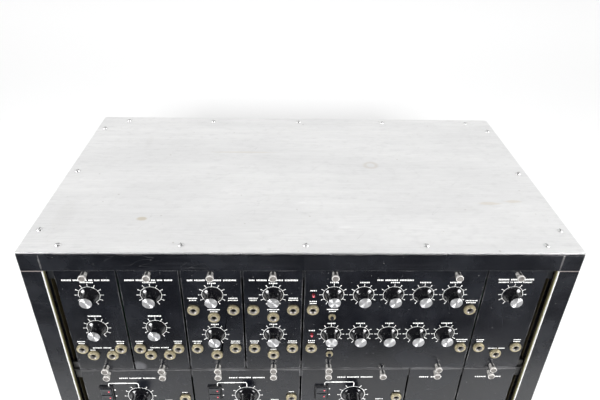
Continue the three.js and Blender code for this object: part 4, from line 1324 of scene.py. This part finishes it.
def sheet_on(name, corners, colour, glow=0.0, only_gloss=False, right_colour=None):
    """A flat sheet between four corners: the floor, or a card that only the gloss reflects.

    With a second colour it turns to that one on its right, with a pale oval in front.
    """
    mesh = bpy.data.meshes.new(name)
    mesh.from_pydata(corners, [], [(0, 1, 2, 3)])
    made = bpy.data.objects.new(name, mesh)
    scene.collection.objects.link(made)
    material, tree, shader = finish_of(name, Roughness=0.6, Emission_Strength=glow)
    shader.inputs["Base Color"].default_value = (*colour, 1)
    shader.inputs["Emission Color"].default_value = (1, 1, 1, 1)
    if right_colour:
        place = here(tree)
        tone = mottled(tree, split(tree, place)[0], colour, right_colour, -0.4, 0.5)
        far = oval_distance(tree, place, *POOL)
        link(tree, shader, blend(tree, ramp(tree, far, 0.2, 1.0, 1.0, 0.0), tone, (0.30, 0.30, 0.32)))
    mesh.materials.append(material)
    if only_gloss:
        made.visible_camera = False
        made.visible_diffuse = False
        made.visible_shadow = False
        made.visible_transmission = False
    return made


def facing(name, place, aim, width, height, glow):
    """A glowing card square to the line from its place to its aim."""
    middle, out = Vector(place), (Vector(aim) - Vector(place)).normalized()
    across = out.cross(Vector((0, 0, 1))).normalized() * width / 2
    up = across.normalized().cross(out) * height / 2
    corners = [middle - across - up, middle + across - up, middle + across + up, middle - across + up]
    return sheet_on(name, [tuple(corner) for corner in corners], (0, 0, 0), glow, True)


# Front, back, foot and top of the flags that stand in front of the case
FLAG_FRONT, FLAG_BACK, FLAG_FOOT, FLAG_TOP = -0.75, -0.156, 0.2, 1.1


def one_way_flag(name, x, side):
    """An upright black flag that hides a card from the knobs on one side of it only."""
    back, front = FLAG_BACK, FLAG_FRONT
    corners = [(x, back, FLAG_FOOT), (x, front, FLAG_FOOT), (x, front, FLAG_TOP), (x, back, FLAG_TOP)]
    made = sheet_on(name, corners[::side], (0, 0, 0), only_gloss=True)
    tree = made.data.materials[0].node_tree
    behind = add(tree, "NewGeometry").outputs["Backfacing"]
    tree.links.new(minus(tree, 1.0, behind), tree.nodes["Principled BSDF"].inputs["Alpha"])


def soft_box(name, place, aim, size, power):
    """A large soft light that the gloss doesn't show."""
    light = bpy.data.lights.new(name, "AREA")
    light.shape = "RECTANGLE"
    light.size, light.size_y = size
    light.energy = power
    made = bpy.data.objects.new(name, light)
    turn = (Vector(aim) - Vector(place)).to_track_quat("-Z", "Y").to_matrix().to_4x4()
    made.matrix_world = Matrix.Translation(place) @ turn
    made.visible_glossy = False
    made.visible_camera = False
    scene.collection.objects.link(made)


FLOOR_REACH = 6
floor_corners = [(x * FLOOR_REACH, y * FLOOR_REACH, 0) for x, y in ((-1, -1), (1, -1), (1, 1), (-1, 1))]
sheet_on("floor", floor_corners, grey(0.93))
card_corners = [(-1.9, -2.8, 0.004), (2.2, -2.8, 0.004), (0.85, -0.32, 0.004), (-1.9, -0.30, 0.004)]
sheet_on("grey_card", card_corners, (0.012, 0.012, 0.014), only_gloss=True, right_colour=(0.035, 0.035, 0.04))
for name, place in (("left_card", (-1.45, -0.80, 0.62)), ("right_card", (1.40, -0.80, 0.66))):
    facing(name, place, aim=(0, -0.15, 0.28), width=0.9, height=0.7, glow=24)
one_way_flag("right_flag", 0.0, 1)
one_way_flag("left_flag", 0.045, -1)
for name, place, aim, size, power in (
    ("overhead", (0, 0.35, 2.2), (0, 0, 0.3), (2.2, 2.2), 6),
    ("backdrop_light", (0, 3.1, 0.8), (0, 3.1, 0), (7.0, 3.2), 28),
    ("left_window", (-1.3, -1.0, 0.9), (0, -0.15, 0.25), (0.7, 0.7), 10),
    ("right_window", (1.3, -1.0, 0.9), (0, -0.15, 0.25), (0.7, 0.7), 10),
    ("front_light", (0.0, -2.9, 1.56), (0, 0, 0.3), (0.7, 0.25), 120),
):
    soft_box(name, place, aim, size, power)


def pale_room():
    """A world lit evenly for what is matt, and for the gloss pale behind and dark in front."""
    world = bpy.data.worlds.new("pale_room")
    world.use_nodes = True
    tree = world.node_tree
    sky = tree.nodes["Background"]
    sky.inputs["Color"].default_value = (1, 1, 1, 1)
    _, back, up = split(tree, add(tree, "TexCoord").outputs["Generated"])
    behind = ramp(tree, plus(tree, back, times(tree, up, 0.35)), -0.25, 0.35, 0.03, 0.98)
    gloss = add(tree, "LightPath").outputs["Is Glossy Ray"]
    even = times(tree, minus(tree, 1.0, gloss), 0.60)
    tree.links.new(plus(tree, even, times(tree, gloss, behind)), sky.inputs["Strength"])
    return world


scene.world = pale_room()
scene.view_settings.view_transform = "Standard"
